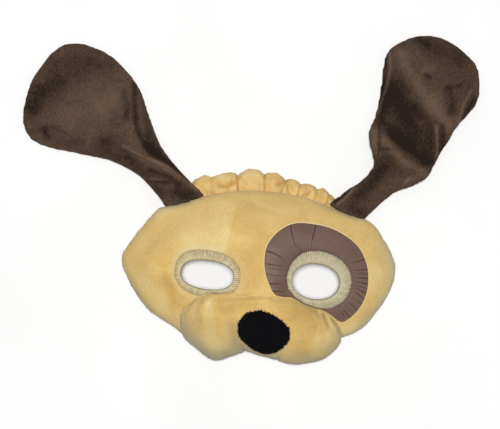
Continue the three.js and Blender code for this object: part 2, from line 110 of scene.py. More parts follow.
@dataclass(frozen=True)
class Line:
    """A smooth line drawn over the cloth, seen from above.

    Attributes:
        places: x and y of the places that the line runs through.
    """

    places: Route

    def trace(self, steps: int = 8) -> np.ndarray:
        """Follows the line.

        Args:
            steps: how many short straight stretches replace each stretch between two places.

        Returns:
            The x and y of close-set spots along the line, one row each.
        """
        knots = np.array(self.places, float)
        padded = np.vstack([2 * knots[0] - knots[1], knots, 2 * knots[-1] - knots[-2]])
        share = np.linspace(0, 1, steps, endpoint=False)[:, None]
        spots = []
        for before, start, end, after in zip(padded, padded[1:], padded[2:], padded[3:]):
            bend = 2 * before - 5 * start + 4 * end - after
            twist = 3 * (start - end) + after - before
            spots.append(start + 0.5 * share * (end - before + share * (bend + share * twist)))
        return np.vstack([*spots, knots[-1:]])

    def measure(self, spots: np.ndarray) -> tuple[np.ndarray, np.ndarray]:
        """Measures where spots lie beside the line.

        Args:
            spots: x and y of the spots, one row each; further columns are left alone.

        Returns:
            Each spot's distance from the line, above zero on the left of its heading, and how far along
            the line the nearest place is, from 0 to 1.
        """
        trace = self.trace()
        lengths = np.linalg.norm(np.diff(trace, axis=0), axis=1)
        gone = np.concatenate([[0], np.cumsum(lengths)])
        nearest = np.full(len(spots), np.inf)
        side = np.ones(len(spots))
        along = np.zeros(len(spots))
        for start, end, length, before in zip(trace, trace[1:], lengths, gone):
            heading = (end - start) / length
            offset = spots[:, :2] - start
            ahead = np.clip(offset @ heading, 0, length)
            apart = np.linalg.norm(offset - ahead[:, None] * heading, axis=1)
            closer = apart < nearest
            nearest[closer] = apart[closer]
            turn = heading[0] * offset[:, 1] - heading[1] * offset[:, 0]
            side[closer] = np.where(turn[closer] < 0, -1, 1)
            along[closer] = (before + ahead[closer]) / gone[-1]
        return nearest * side, along


@dataclass(frozen=True)
class Crease(Line):
    """A furrow or ridge along a line, with the cloth swelling a little on both sides of a furrow.

    Attributes:
        width: half its width.
        depth: how deep the furrow is, or below zero how high the ridge is.
        fade: where it dies away.
        swell: height of the swelling beside it, as a share of its depth.
        swell_place: distance from the line to the top of that swelling, in half widths.
    """

    width: float
    depth: float
    fade: Fade = BOTH_ENDS
    swell: float = 0.3
    swell_place: float = 2.2

    def heights(self, spots: np.ndarray) -> np.ndarray:
        """Works out how far the crease lifts the cloth at some spots.

        Args:
            spots: x and y of the spots, one row each.

        Returns:
            One height for each spot, below zero in a furrow.
        """
        apart, along = self.measure(spots)
        apart = np.abs(apart) / self.width
        furrow = np.exp(-(apart**2)) - self.swell * np.exp(-((apart - self.swell_place) ** 2))
        return -self.depth * furrow * self.strength(along)

    def strength(self, along: np.ndarray) -> np.ndarray:
        """Works out how strong the crease is along its length.

        Args:
            along: shares of its length.

        Returns:
            One strength for each share, from 0 to 1.
        """
        if self.fade is NOWHERE:
            return np.ones_like(along)
        if self.fade is FAR_END:
            return np.cos(along * math.pi / 2) ** 0.8
        return np.sin(np.clip(along, 0.02, 0.98) * math.pi) ** 0.6


@dataclass(frozen=True)
class Stroke(Line):
    """A band over the cloth, lighter or darker: the nap of the pile, painted highlights on lips and ridges,
    and painted shade in folds, furrows and on slopes turned from the light.

    Attributes:
        width: half its width.
        shade: how much lighter, or below zero how much darker, the pile is there.
        far_shade: for a stroke that ends sharply at its line, the shade on the right of its heading.
    """

    width: float
    shade: float
    far_shade: float | None = None

    def shades(self, spots: np.ndarray) -> np.ndarray:
        """Works out the stroke's shade at some spots.

        Args:
            spots: x and y of the spots, one row each.

        Returns:
            One shade for each spot.
        """
        apart, along = self.measure(spots)
        soft = np.exp(-((np.abs(apart) / self.width) ** 2))
        if self.far_shade is None:
            return self.shade * soft
        ends = np.sin(np.clip(along, 0.0, 1.0) * math.pi) ** 0.5
        return np.where(apart > 0, self.shade, self.far_shade) * soft * ends


@dataclass(frozen=True)
class Unevenness:
    """Low swells of the stuffing, as a sum of seeded waves.

    Attributes:
        wavelength: usual distance from swell to swell.
        height: usual height of a swell.
        seed: start of the random draws.
        waves: how many waves are summed.
    """

    wavelength: float
    height: float
    seed: int
    waves: int = 20

    def heights(self, points: np.ndarray) -> np.ndarray:
        """Works out the swell at some points.

        Args:
            points: x, y and z of the points, one row each.

        Returns:
            One height for each point.
        """
        draw = np.random.default_rng(self.seed)
        heading = draw.normal(size=(self.waves, 3))
        heading /= np.linalg.norm(heading, axis=1)[:, None]
        pace = 2 * math.pi / (self.wavelength * draw.uniform(0.7, 1.4, self.waves))
        start = draw.uniform(0, 2 * math.pi, self.waves)
        swells = np.sin(points @ (heading * pace[:, None]).T + start).sum(1)
        return self.height * swells / math.sqrt(self.waves / 2)


@dataclass(frozen=True)
class Pull:
    """A tug at the cloth, along the table.

    Attributes:
        spot: x and y of its middle.
        move: how far the cloth moves there, along X and Y.
        reach: distance at which about a third of the tug is left.
    """

    spot: Spot
    move: Spot
    reach: float


# Shaping meshes


def turned(outward: np.ndarray) -> np.ndarray:
    """Gives the painted grey shade, from 0 to 1, where the surface turns to the side: most below, least
    facing +Y.
    """
    steep = np.clip(1 - outward[:, 2], 0, 1) ** GREY_SHADE_POWER
    return steep * (1 - GREY_SHADE_SPARED * np.clip(outward[:, 1], 0, 1))


def read_rows(items: bpy.types.bpy_prop_collection, key: str, width: int, kind: type) -> np.ndarray:
    """Reads a value of every item of a mesh.

    Args:
        items: the items.
        key: the value's name.
        width: how many numbers it has.
        kind: their type.

    Returns:
        The value of each item, one row each.
    """
    flat = np.empty(len(items) * width, kind)
    items.foreach_get(key, flat)
    return flat.reshape(-1, width)


class SoftForm:
    """A mesh piece while it is shaped, read and written as arrays in millimetres."""

    def __init__(self, piece: bpy.types.Object) -> None:
        """Takes a mesh piece in hand."""
        self.piece = piece

    @classmethod
    def from_node(cls, node: str, name: str) -> "SoftForm":
        """Copies a solid of the frame into a new piece.

        Args:
            node: name of the solid.
            name: name of the new piece.

        Returns:
            The new piece's form.
        """
        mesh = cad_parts[node].data.copy()
        mesh.materials.clear()
        return cls.from_mesh(
            name, mesh, lambda work: bmesh.ops.remove_doubles(work, verts=work.verts, dist=WELD * MM)
        )

    @classmethod
    def from_faces(cls, name: str, points: np.ndarray, faces: np.ndarray) -> "SoftForm":
        """Makes a new piece from points and faces.

        Args:
            name: name of the new piece.
            points: x, y and z of its points, one row each.
            faces: numbers of the points round each face, one row each.

        Returns:
            The new piece's form, with its faces turned outward.
        """
        mesh = bpy.data.meshes.new(name)
        mesh.from_pydata((points * MM).tolist(), [], faces.tolist())
        return cls.from_mesh(name, mesh, lambda work: bmesh.ops.recalc_face_normals(work, faces=work.faces))

    @classmethod
    def from_mesh(
        cls, name: str, mesh: bpy.types.Mesh, mend: Callable[[bmesh.types.BMesh], object]
    ) -> "SoftForm":
        """Mends a mesh and puts it in the scene as a piece.

        Args:
            name: name of the new piece.
            mesh: the mesh.
            mend: what is done to the mesh first.

        Returns:
            The new piece's form.
        """
        work = bmesh.new()
        work.from_mesh(mesh)
        mend(work)
        work.to_mesh(mesh)
        work.free()
        mesh.name = name
        piece = bpy.data.objects.new(name, mesh)
        bpy.context.scene.collection.objects.link(piece)
        return cls(piece)

    def points(self) -> np.ndarray:
        """Gives the x, y and z of the piece's points, one row each."""
        return read_rows(self.piece.data.vertices, "co", 3, np.float32).astype(float) / MM

    def place(self, points: np.ndarray) -> None:
        """Moves the piece's points to new places, just above the table at the lowest.

        Args:
            points: x, y and z of the new places, one row each.
        """
        points[:, 2] = np.maximum(points[:, 2], TABLE_GAP)
        self.piece.data.vertices.foreach_set("co", (points * MM).astype(np.float32).ravel())
        self.piece.data.update()

    def normals(self) -> np.ndarray:
        """Gives the outward direction at each of the piece's points, one row each."""
        return read_rows(self.piece.data.vertex_normals, "vector", 3, np.float32).astype(float)

    def triangles(self) -> np.ndarray:
        """Gives the numbers of the points of each of the piece's triangles, one row each."""
        self.piece.data.calc_loop_triangles()
        return read_rows(self.piece.data.loop_triangles, "vertices", 3, np.int32)

    def apply(self, kind: str, **settings: object) -> None:
        """Adds a modifier and applies it.

        Args:
            kind: the modifier's type.
            settings: its settings by name.
        """
        modifier = self.piece.modifiers.new(kind.lower(), kind)
        for name, value in settings.items():
            setattr(modifier, name, value)
        self.settle()

    def settle(self) -> None:
        """Turns what the piece's modifiers show into its own mesh."""
        view = bpy.context.evaluated_depsgraph_get()
        mesh = bpy.data.meshes.new_from_object(self.piece.evaluated_get(view))
        self.piece.modifiers.clear()
        worn = self.piece.data
        self.piece.data = mesh
        bpy.data.meshes.remove(worn)
        mesh.name = self.piece.name

    def knit(self, voxel: float, rounds: int, steps: Sequence[float] = (0.5, -0.52)) -> None:
        """Covers the form with an even mesh and smooths its facets away, in steps that go in and out."""
        self.apply("REMESH", mode="VOXEL", voxel_size=voxel * MM, use_smooth_shade=True)
        self.even(steps * rounds)

    def even(self, steps: Sequence[float], share: np.ndarray | float = 1.0) -> None:
        """Moves the points towards the middle of their neighbours, several times.

        Args:
            steps: how far to go each time, as a share of the way; below zero to go the other way.
            share: for each point, how much of each step it takes.
        """
        start, end = read_rows(self.piece.data.edges, "vertices", 2, np.int32).T
        points = self.points()
        many = len(points)
        count = np.bincount(start, minlength=many) + np.bincount(end, minlength=many)
        weight = np.broadcast_to(share, many)[:, None]
        for step in steps:
            total = np.stack(
                [
                    np.bincount(start, weights=points[end, axis], minlength=many)
                    + np.bincount(end, weights=points[start, axis], minlength=many)
                    for axis in range(3)
                ],
                axis=1,
            )
            points += step * weight * (total / count[:, None] - points)
        self.place(points)

    def push(self, amount: np.ndarray) -> None:
        """Moves each point out along its normal by its own amount."""
        self.place(self.points() + amount[:, None] * self.normals())

    def pull(self, pulls: Sequence[Pull]) -> None:
        """Draws the form out of shape.

        Args:
            pulls: the tugs at it.
        """
        points = self.points()
        for pull in pulls:
            apart = np.linalg.norm(points[:, :2] - pull.spot, axis=1) / pull.reach
            points[:, :2] += np.exp(-(apart**2))[:, None] * pull.move
        self.place(points)

    def crease(self, creases: Sequence[Crease], facing: float) -> None:
        """Works creases into the upper side of the form.

        Args:
            creases: the creases.
            facing: how far up a surface has to face to take them.
        """
        points = self.points()
        upward = np.clip((self.normals()[:, 2] - facing) / CREASE_BLEND, 0, 1)
        lift = sum(crease.heights(points) for crease in creases)
        self.push(lift * upward)

    def refine(self) -> None:
        """Splits every face into four smooth ones."""
        self.apply("SUBSURF", levels=1, render_levels=1)

    def tree(self) -> BVHTree:
        """Gives a search tree of the form's faces, in metres."""
        mesh = self.piece.data
        return BVHTree.FromPolygons([v.co for v in mesh.vertices], [p.vertices for p in mesh.polygons])

    def brush(self, strokes: Sequence[Stroke], grey_shade_strokes: Sequence[Stroke]) -> None:
        """Stores at each point the pile's tone with painted light and shade, and its painted grey shade.

        Args:
            strokes: bands of nap tone, painted highlights and painted shade, on the upper side.
            grey_shade_strokes: bands of painted grey shade and sheen, added to that of steep sides.
        """
        points, normals = self.points(), self.normals()
        shade, grey_shade = np.zeros(len(points)), turned(normals)
        for stroke in strokes:
            shade += stroke.shades(points)
        for grey_shade_stroke in grey_shade_strokes:
            grey_shade += grey_shade_stroke.shades(points)
        self.store(TONE_AND_SHADE, shade * np.clip(normals[:, 2] + STROKE_REACH, 0, 1))
        self.store(GREY_SHADE, np.clip(grey_shade, 0, 1))

    def store(self, name: str, values: np.ndarray) -> None:
        """Stores a value for each point under a name, for the finish to read."""
        layer = self.piece.data.attributes.new(name, "FLOAT", "POINT")
        layer.data.foreach_set("value", values.astype(np.float32))

    def stored(self, name: str) -> np.ndarray:
        """Gives the value that is stored at each point under a name."""
        return read_rows(self.piece.data.attributes[name].data, "value", 1, np.float32)[:, 0]

    def light_as(self, directions: np.ndarray) -> None:
        """Lets the form take light as another surface does, and cast no shade on it.

        Args:
            directions: which way that surface faces at each point, one row each.
        """
        mesh = self.piece.data
        mesh.polygons.foreach_set("use_smooth", np.ones(len(mesh.polygons), bool))
        mesh.normals_split_custom_set_from_vertices(directions.tolist())
        self.piece.visible_shadow = False

    def dress(self, finish: "Finish", slot: Slot, replaces: Sequence[str] = ()) -> bpy.types.Object:
        """Gives the piece its finish and tells the frame about it.

        Args:
            finish: what its surface is made of.
            slot: the record's material slot; not used.
            replaces: the solids that it stands for.

        Returns:
            The piece.
        """
        mesh = self.piece.data
        mesh.materials.clear()
        mesh.materials.append(finish.material())
        mesh.polygons.foreach_set("use_smooth", np.ones(len(mesh.polygons), bool))
        mesh.update()
        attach(self.piece, BODY)
        if replaces:
            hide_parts(*replaces)
        return self.piece


@dataclass(frozen=True)
class Stuffing:
    """Stuffing that swells a closed cloth form from inside.

    Attributes:
        pressure: how hard it pushes.
        slack: how much smaller the cloth is before it is stuffed.
        cap: the furthest that the stuffing may move the cloth.
        frames: how long the cloth takes to settle.
        mass: weight of each of the cloth's points.
        quality: steps of the simulation in each frame.
    """

    pressure: float
    slack: float
    cap: float
    frames: int = 12
    mass: float = 0.02
    quality: int = 3

    def swell(self, form: SoftForm) -> None:
        """Swells a form by a cloth simulation, whose result becomes the form's own mesh.

        Args:
            form: the closed form to swell.
        """
        form.push(np.full(len(form.points()), -self.slack))
        rest = form.points()
        cloth = form.piece.modifiers.new("stuffing", "CLOTH")
        cloth.settings.use_pressure = True
        cloth.settings.uniform_pressure_force = self.pressure
        cloth.settings.mass = self.mass
        cloth.settings.quality = self.quality
        cloth.settings.effector_weights.gravity = 0
        cloth.collision_settings.use_collision = False
        scene = bpy.context.scene
        for number in range(1, self.frames + 1):
            scene.frame_set(number)
        form.settle()
        scene.frame_set(1)
        move = form.points() - rest
        length = np.linalg.norm(move, axis=1)[:, None]
        form.place(rest + move * np.minimum(1, self.cap / np.maximum(length, 1e-9)))
        average = float(np.minimum(length, self.cap).mean())
        LOG.info("%s swells by %.2f mm on average", form.piece.name, average)


@dataclass(frozen=True)
class Pile:
    """Short fibres that stand on a surface.

    Attributes:
        count: how many.
        length: usual length.
        radius: radius at the root.
        lean: direction in which they are brushed, longer for flatter fibres.
        spread: how much their directions differ.
        seed: start of the random draws.
        bends: places where a fibre bends; none makes plain spikes.
        curl: radius of the curls of a bent fibre.
        sink: depth of the root in the surface.
        sheer: whether they take light as the surface under them does, and cast no shade.
        lowest: how far down a surface may face and still carry fibres, from 0, upright, to -1.
        least_rise: how far a fibre has to stand out of the surface.
        lengths: range of the fibres' lengths, as shares of the usual one.
        turns: range of the turns in a bent fibre's curl.
        taper: share of the radius that is lost on the way to the tip.
    """

    count: int
    length: float
    radius: float
    lean: Triple
    spread: float
    seed: int
    bends: int = 0
    curl: float = 0.0
    sink: float = 0.25
    sheer: bool = True
    lowest: float = -0.25
    least_rise: float = 0.35
    lengths: Spot = (0.7, 1.25)
    turns: Spot = (0.6, 1.3)
    taper: float = 0.7

    def grow(self, form: SoftForm, name: str) -> SoftForm:
        """Grows the fibres on a form, as one new piece.

        Args:
            form: the form that carries them.
            name: name of the new piece.

        Returns:
            The new piece's form.
        """
        draw = np.random.default_rng(self.seed)
        roots, outward, shade, grey_shade = self.roots(form, draw)
        many = len(roots)
        along = outward + np.array(self.lean) + draw.normal(0, self.spread, (many, 3))
        rising = np.sum(along * outward, axis=1)[:, None]
        along += outward * np.maximum(self.least_rise - rising, 0)
        along /= np.linalg.norm(along, axis=1)[:, None]
        side = np.cross(along, draw.normal(size=(many, 3)))
        side /= np.linalg.norm(side, axis=1)[:, None]
        other = np.cross(along, side)
        length = self.length * draw.uniform(*self.lengths, many)
        turns = draw.uniform(*self.turns, many)
        corners = np.arange(3) * 2 * math.pi / 3
        rings = []
        for share in np.linspace(0, 1, self.bends + 2):
            turn = (2 * math.pi * turns * share)[:, None]
            middle = roots - outward * self.sink + along * (length * share)[:, None]
            middle += self.curl * (side * np.sin(turn) + other * (1 - np.cos(turn)))
            if share == 1:
                rings.append(middle[:, None])
                continue
            width = self.radius * (1 - self.taper * share)
            rings.append(
                middle[:, None]
                + width * np.cos(corners)[None, :, None] * side[:, None]
                + width * np.sin(corners)[None, :, None] * other[:, None]
            )
        points = np.concatenate(rings, axis=1)
        fibre = SoftForm.from_faces(name, points.reshape(-1, 3), self.faces(many))
        # The fibres carry the tone, with its painted light and shade, and the painted grey shade of the
        # surface under them
        fibre.store(TONE_AND_SHADE, np.repeat(shade, points.shape[1]))
        fibre.store(GREY_SHADE, np.repeat(grey_shade, points.shape[1]))
        if self.sheer:
            fibre.light_as(np.repeat(outward, points.shape[1], axis=0))
        return fibre

    def faces(self, many: int) -> np.ndarray:
        """Numbers the triangles of that many fibres.

        Args:
            many: how many fibres.

        Returns:
            The numbers of the points of each triangle, one row each.
        """
        one = [(0, 2, 1)]
        for ring in range(self.bends):
            for corner in range(3):
                low, next_low = 3 * ring + corner, 3 * ring + (corner + 1) % 3
                one += [(low, next_low, next_low + 3), (low, next_low + 3, low + 3)]
        top = 3 * self.bends
        one += [(top + corner, top + (corner + 1) % 3, top + 3) for corner in range(3)]
        points_each = top + 4
        return (np.array(one)[None] + points_each * np.arange(many)[:, None, None]).reshape(-1, 3)

    def roots(self, form: SoftForm, draw: np.random.Generator) -> tuple[np.ndarray, ...]:
        """Scatters the fibres' roots evenly over a form.

        Args:
            form: the form that carries them.
            draw: source of the random draws.

        Returns:
            The roots' places, outward directions, tones with painted light and shade, and painted grey
            shade.
        """
        points, triangles = form.points(), form.triangles()
        a, b, c = (points[triangles[:, corner]] for corner in range(3))
        across = np.cross(b - a, c - a)
        area = np.linalg.norm(across, axis=1)
        facing = across / np.maximum(area, 1e-12)[:, None]
        wanted = np.where(facing[:, 2] > self.lowest, area, 0)
        chosen = draw.choice(len(triangles), self.count, p=wanted / wanted.sum())
        first, second = draw.uniform(size=(2, self.count))
        over = first + second > 1
        first, second = np.where(over, 1 - first, first), np.where(over, 1 - second, second)
        share = np.stack([1 - first - second, first, second], axis=1)
        corners = triangles[chosen]
        places = np.einsum("ij,ijk->ik", share, points[corners])
        outward = np.einsum("ij,ijk->ik", share, form.normals()[corners])
        outward /= np.linalg.norm(outward, axis=1)[:, None]
        shade, grey_shade = (np.einsum("ij,ij->i", share, form.stored(name)[corners]) for name in (TONE_AND_SHADE, GREY_SHADE))
        return places, outward, shade, grey_shade


# Finishes


def linear(colour: Colour) -> tuple[float, float, float, float]:
    """Turns a screen colour into the shader's own light values.

    Args:
        colour: red, green and blue, from 0 to 255.

    Returns:
        Red, green, blue and full cover, from 0 to 1.
    """
    shares = [channel / 255 for channel in colour]
    light = [s / 12.92 if s <= 0.04045 else ((s + 0.055) / 1.055) ** 2.4 for s in shares]
    return (*light, 1.0)


class NodeBench:
    """Lays out the nodes of one material."""

    def __init__(self, name: str) -> None:
        """Starts a material.

        Args:
            name: the material's name.
        """
        self.material = bpy.data.materials.new(name)
        self.material.use_nodes = True
        self.tree = self.material.node_tree
        self.shader = self.tree.nodes["Principled BSDF"]
        self.where = self.add("ShaderNodeTexCoord").outputs["Object"]

    def add(self, kind: str, **settings: object) -> bpy.types.Node:
        """Adds a node.

        Args:
            kind: the node's type.
            settings: its settings by name.

        Returns:
            The node.
        """
        node = self.tree.nodes.new(kind)
        for name, value in settings.items():
            setattr(node, name, value)
        return node

    def join(self, source: Socket, target: Socket) -> None:
        """Links one node's output to another's input."""
        self.tree.links.new(source, target)

    def noise(
        self, size: float, detail: float, distortion: float = 0.0, stretch: Triple = (1.0, 1.0, 1.0)
    ) -> Socket:
        """Adds a soft random pattern.

        Args:
            size: usual size of its patches.
            detail: layers of finer patches.
            distortion: how far it is swirled.
            stretch: how far it is drawn out along each axis.

        Returns:
            The pattern, from 0 to 1.
        """
        node = self.add("ShaderNodeTexNoise")
        node.inputs["Scale"].default_value = 1 / (size * MM)
        node.inputs["Detail"].default_value = detail
        node.inputs["Distortion"].default_value = distortion
        mapping = self.add("ShaderNodeMapping")
        mapping.inputs["Scale"].default_value = [1 / factor for factor in stretch]
        self.join(self.where, mapping.inputs["Vector"])
        self.join(mapping.outputs["Vector"], node.inputs["Vector"])
        return node.outputs["Fac"]

    def bands(self, pitch: float, direction: str, distortion: float) -> Socket:
        """Adds fine parallel lines.

        Args:
            pitch: distance from line to line.
            direction: axis across the lines, X, Y or Z.
            distortion: how far they waver.

        Returns:
            The pattern, from 0 to 1.
        """
        node = self.add("ShaderNodeTexWave", wave_type="BANDS", bands_direction=direction)
        node.inputs["Scale"].default_value = 2 * math.pi / (WAVE_SCALE * pitch * MM)
        node.inputs["Distortion"].default_value = distortion
        node.inputs["Detail"].default_value = 2
        self.join(self.where, node.inputs["Vector"])
        return node.outputs["Fac"]

    def stored(self, name: str) -> Socket:
        """Reads a value that is stored with the mesh."""
        return self.add("ShaderNodeAttribute", attribute_name=name).outputs["Fac"]

    def total(self, start: float, terms: Sequence[tuple[Socket, float]]) -> Socket:
        """Adds weighted patterns up.

        Args:
            start: the sum before the first term.
            terms: each pattern and its weight.

        Returns:
            The sum.
        """
        so_far = None
        for source, weight in terms:
            step = self.add("ShaderNodeMath", operation="MULTIPLY_ADD")
            self.join(source, step.inputs[0])
            step.inputs[1].default_value = weight
            if so_far is None:
                step.inputs[2].default_value = start
            else:
                self.join(so_far, step.inputs[2])
            so_far = step.outputs[0]
        return so_far

    def tone(self, tone_and_shade_share: float, patterns: Sequence[tuple[Socket, float]]) -> Socket:
        """Adds weighted patterns, and the stored tone with its painted light and shade, up round a middle
        tone of 0.5.
        """
        start = 0.5 - sum(weight for _, weight in patterns) / 2
        return self.total(start, [(self.stored(TONE_AND_SHADE), tone_and_shade_share), *patterns])

    def ramp(self, factor: Socket, stops: Sequence[tuple[float, Colour]]) -> Socket:
        """Turns a number into a colour.

        Args:
            factor: the number.
            stops: places from 0 to 1 and their colours.

        Returns:
            The colour.
        """
        node = self.add("ShaderNodeValToRGB")
        elements = node.color_ramp.elements
        while len(elements) < len(stops):
            elements.new(0.5)
        for element, (place, colour) in zip(elements, stops):
            element.position = place
            element.color = linear(colour)
        self.join(factor, node.inputs["Fac"])
        return node.outputs["Color"]

    def blend(self, factor: Socket, first: Socket, second: Colour) -> Socket:
        """Mixes a plain colour into a pattern.

        Args:
            factor: share of the plain colour, from 0 to 1.
            first: the pattern.
            second: the plain colour.

        Returns:
            The mixed colour.
        """
        node = self.add("ShaderNodeMix", data_type="RGBA")
        self.join(factor, node.inputs[0])
        self.join(first, node.inputs[6])
        node.inputs[7].default_value = linear(second)
        return node.outputs[2]

    def colour(self, source: Socket) -> None:
        """Uses a colour on the surface."""
        self.join(source, self.shader.inputs["Base Color"])

    def roughness(self, factor: Socket, low: float, high: float) -> None:
        """Lets a pattern make the surface duller and shinier.

        Args:
            factor: the pattern, from 0 to 1.
            low: roughness where the pattern is 0.
            high: roughness where it is 1.
        """
        node = self.add("ShaderNodeMapRange")
        node.inputs["To Min"].default_value = low
        node.inputs["To Max"].default_value = high
        self.join(factor, node.inputs["Value"])
        self.join(node.outputs["Result"], self.shader.inputs["Roughness"])

    def relief(self, height: Socket, depth: float, strength: float) -> None:
        """Lets a pattern roughen the surface.

        Args:
            height: the pattern.
            depth: height from its lowest to its highest.
            strength: how much of it shows, from 0 to 1.
        """
        node = self.add("ShaderNodeBump")
        node.inputs["Distance"].default_value = depth * MM
        node.inputs["Strength"].default_value = strength
        self.join(height, node.inputs["Height"])
        self.join(node.outputs["Normal"], self.shader.inputs["Normal"])

    def set(self, **values: object) -> None:
        """Sets numbers and colours that are the same all over, by the shader's socket names."""
        for name, value in values.items():
            self.shader.inputs[name.replace("_", " ")].default_value = value


@dataclass(frozen=True)
class Finish:
    """What a surface is made of. Its material is made once and shared.

    Attributes:
        name: the material's name.
        body: usual colour.
        light: colour of the lightest parts.
        made: all materials that are made so far, by name.
    """

    name: str
    body: Colour
    light: Colour
    made: ClassVar[dict[str, bpy.types.Material]] = {}

    def material(self) -> bpy.types.Material:
        """Makes the finish's material, if it isn't made yet.

        Returns:
            The material.
        """
        if self.name not in Finish.made:
            Finish.made[self.name] = self.compose()
        return Finish.made[self.name]

    def compose(self) -> bpy.types.Material:
        """Makes the finish's material."""
        raise NotImplementedError


@dataclass(frozen=True)
class Plush(Finish):
    """Short brushed pile.

    Attributes:
        dark: colour where the pile stands towards the eye, and of the painted shade in folds and furrows.
        tone_and_shade_share: how strongly the stored tone, with its painted highlights and shade, shows.
        patch_share: how strongly the pile's own patches show.
        grain_share: how strongly single tufts show.
        patch: size of a patch.
        sheen: strength of the soft glow at glancing angles.
        glow: colour of that glow.
        side: colour of the painted grey shade on steep sides and along grey strokes.
        grey_shade_share: how strongly that painted grey shade shows.
        grain: size of a tuft.
        strand: thickness of a strand.
    """

    dark: Colour
    tone_and_shade_share: float
    patch_share: float
    grain_share: float
    patch: float
    sheen: float
    glow: Colour = (216, 214, 200)
    side: Colour = (140, 140, 125)
    grey_shade_share: float = 0.75
    grain: float = 1.1
    strand: float = 0.35

    def compose(self) -> bpy.types.Material:
        """Makes patches, tufts and strands of pile, with painted grey shade on steep sides.

        Returns:
            The material.
        """
        bench = NodeBench(self.name)
        patches = bench.noise(self.patch, detail=4, distortion=0.7)
        tufts = bench.noise(self.grain, detail=3, stretch=(1.0, 1.6, 1.0))
        strands = bench.noise(self.strand, detail=1, stretch=(1.0, 4.0, 1.0))
        tone = bench.tone(self.tone_and_shade_share, [(patches, self.patch_share), (tufts, self.grain_share)])
        shade = bench.ramp(tone, [(0.12, self.dark), (0.5, self.body), (0.88, self.light)])
        # Painted grey shade: steep sides and grey strokes blend the pile towards the side colour
        sides = bench.total(0.0, [(bench.stored(GREY_SHADE), self.grey_shade_share)])
        bench.colour(bench.blend(sides, shade, self.side))
        bench.roughness(tufts, 0.82, 1.0)
        height = bench.total(0.0, [(tufts, 0.6), (strands, 0.4)])
        bench.relief(height, depth=0.2, strength=0.5)
        bench.set(
            Sheen_Weight=self.sheen,
            Sheen_Roughness=0.55,
            Sheen_Tint=linear(self.glow),
            Specular_IOR_Level=0.15,
        )
        return bench.material


@dataclass(frozen=True)
class Satin(Finish):
    """Smooth satin with fine lines of weave.

    Attributes:
        dark: colour of the painted shade in the furrows and beside the stitched border.
        pitch: distance from line to line of the weave.
    """

    dark: Colour
    pitch: float = 0.3

    def compose(self) -> bpy.types.Material:
        """Makes a weave with a soft shine.

        Returns:
            The material.
        """
        bench = NodeBench(self.name)
        clouds = bench.noise(14.0, detail=3, distortion=0.4)
        slubs = bench.noise(0.7, detail=2, stretch=(5.0, 1.0, 1.0))
        weave = bench.bands(self.pitch, "Y", distortion=0.6)
        # The stored tone is painted shade in the furrows and beside the border, with painted light on the
        # swells
        tone = bench.tone(0.5, [(clouds, 0.3), (slubs, 0.3), (weave, 0.1)])
        bench.colour(bench.ramp(tone, [(0.05, self.dark), (0.5, self.body), (0.85, self.light)]))
        bench.roughness(slubs, 0.42, 0.62)
        bench.relief(bench.total(0.0, [(weave, 0.6), (slubs, 0.4)]), depth=0.08, strength=0.5)
        bench.set(Sheen_Weight=0.25, Sheen_Roughness=0.4, Sheen_Tint=linear(self.light))
        bench.set(Specular_IOR_Level=0.4)
        return bench.material


@dataclass(frozen=True)
class Thread(Finish):
    """Twisted sewing thread.

    Attributes:
        dark: colour between the strands, and of the painted shade between threads and at the border's
            edges.
    """

    dark: Colour

    def compose(self) -> bpy.types.Material:
        """Makes fine twisted strands that vary in tone.

        Returns:
            The material.
        """
        bench = NodeBench(self.name)
        lengths = bench.noise(2.2, detail=3)
        strands = bench.noise(0.22, detail=2)
        # The stored tone is each thread's own tone with painted light on crowns and painted shade in gaps
        # and down the wall
        tone = bench.tone(0.5, [(lengths, 0.5), (strands, 0.4)])
        bench.colour(bench.ramp(tone, [(0.15, self.dark), (0.5, self.body), (0.85, self.light)]))
        bench.roughness(strands, 0.55, 0.85)
        bench.relief(strands, depth=0.12, strength=0.6)
        bench.set(Sheen_Weight=0.2, Sheen_Roughness=0.5, Specular_IOR_Level=0.35)
        return bench.material


@dataclass(frozen=True)
class Paper(Finish):
    """Plain pale paper for the table."""

    def compose(self) -> bpy.types.Material:
        """Makes an almost even pale surface.

        Returns:
            The material.
        """
        bench = NodeBench(self.name)
        bench.colour(bench.ramp(bench.noise(120.0, detail=3), [(0.3, self.body), (0.7, self.light)]))
        bench.set(Roughness=0.9, Specular_IOR_Level=0.1)
        return bench.material


CREAM = Plush(
    "cream_plush",
    dark=(190, 148, 78), body=(219, 186, 114), light=(236, 216, 160),
    tone_and_shade_share=0.45, patch_share=0.55, grain_share=0.4, patch=20.0, sheen=0.3,
)
STRAP_CREAM = Plush(
    "strap_plush",
    dark=(190, 144, 78), body=(217, 184, 116), light=(234, 212, 160),
    tone_and_shade_share=0.5, patch_share=0.6, grain_share=0.35, patch=8.0, sheen=0.3,
    grey_shade_share=0.3,
)
BROWN = Plush(
    "brown_plush",
    dark=(36, 26, 21), body=(79, 62, 49), light=(108, 87, 70),
    tone_and_shade_share=0.5, patch_share=0.5, grain_share=0.65, patch=18.0, sheen=0.15,
    glow=(150, 124, 104), side=(52, 42, 36), grey_shade_share=0.3,
)
BLACK = Plush(
    "black_pile",
    dark=(2, 2, 4), body=(4, 5, 8), light=(22, 23, 28),
    tone_and_shade_share=0.3, patch_share=0.5, grain_share=0.9, patch=4.0, sheen=0.05,
    glow=(120, 122, 132), side=(8, 8, 10),
)
SATIN = Satin("brown_satin", dark=(66, 46, 38), body=(114, 88, 75), light=(132, 106, 93))
LEFT_THREAD = Thread("cream_thread", dark=(150, 128, 84), body=(206, 190, 146), light=(230, 218, 180))
RIGHT_THREAD = Thread("pale_thread", dark=(152, 144, 112), body=(192, 184, 150), light=(214, 206, 176))
# Pale colour of the satin's turned edge: a painted highlight along its fold
EDGE_HIGHLIGHT = Thread("edge_highlight", dark=(222, 192, 136), body=(238, 214, 160), light=(246, 228, 184))
TABLE_PAPER = Paper("table_paper", body=(247, 247, 246), light=(252, 252, 252))


# Pieces of the mask


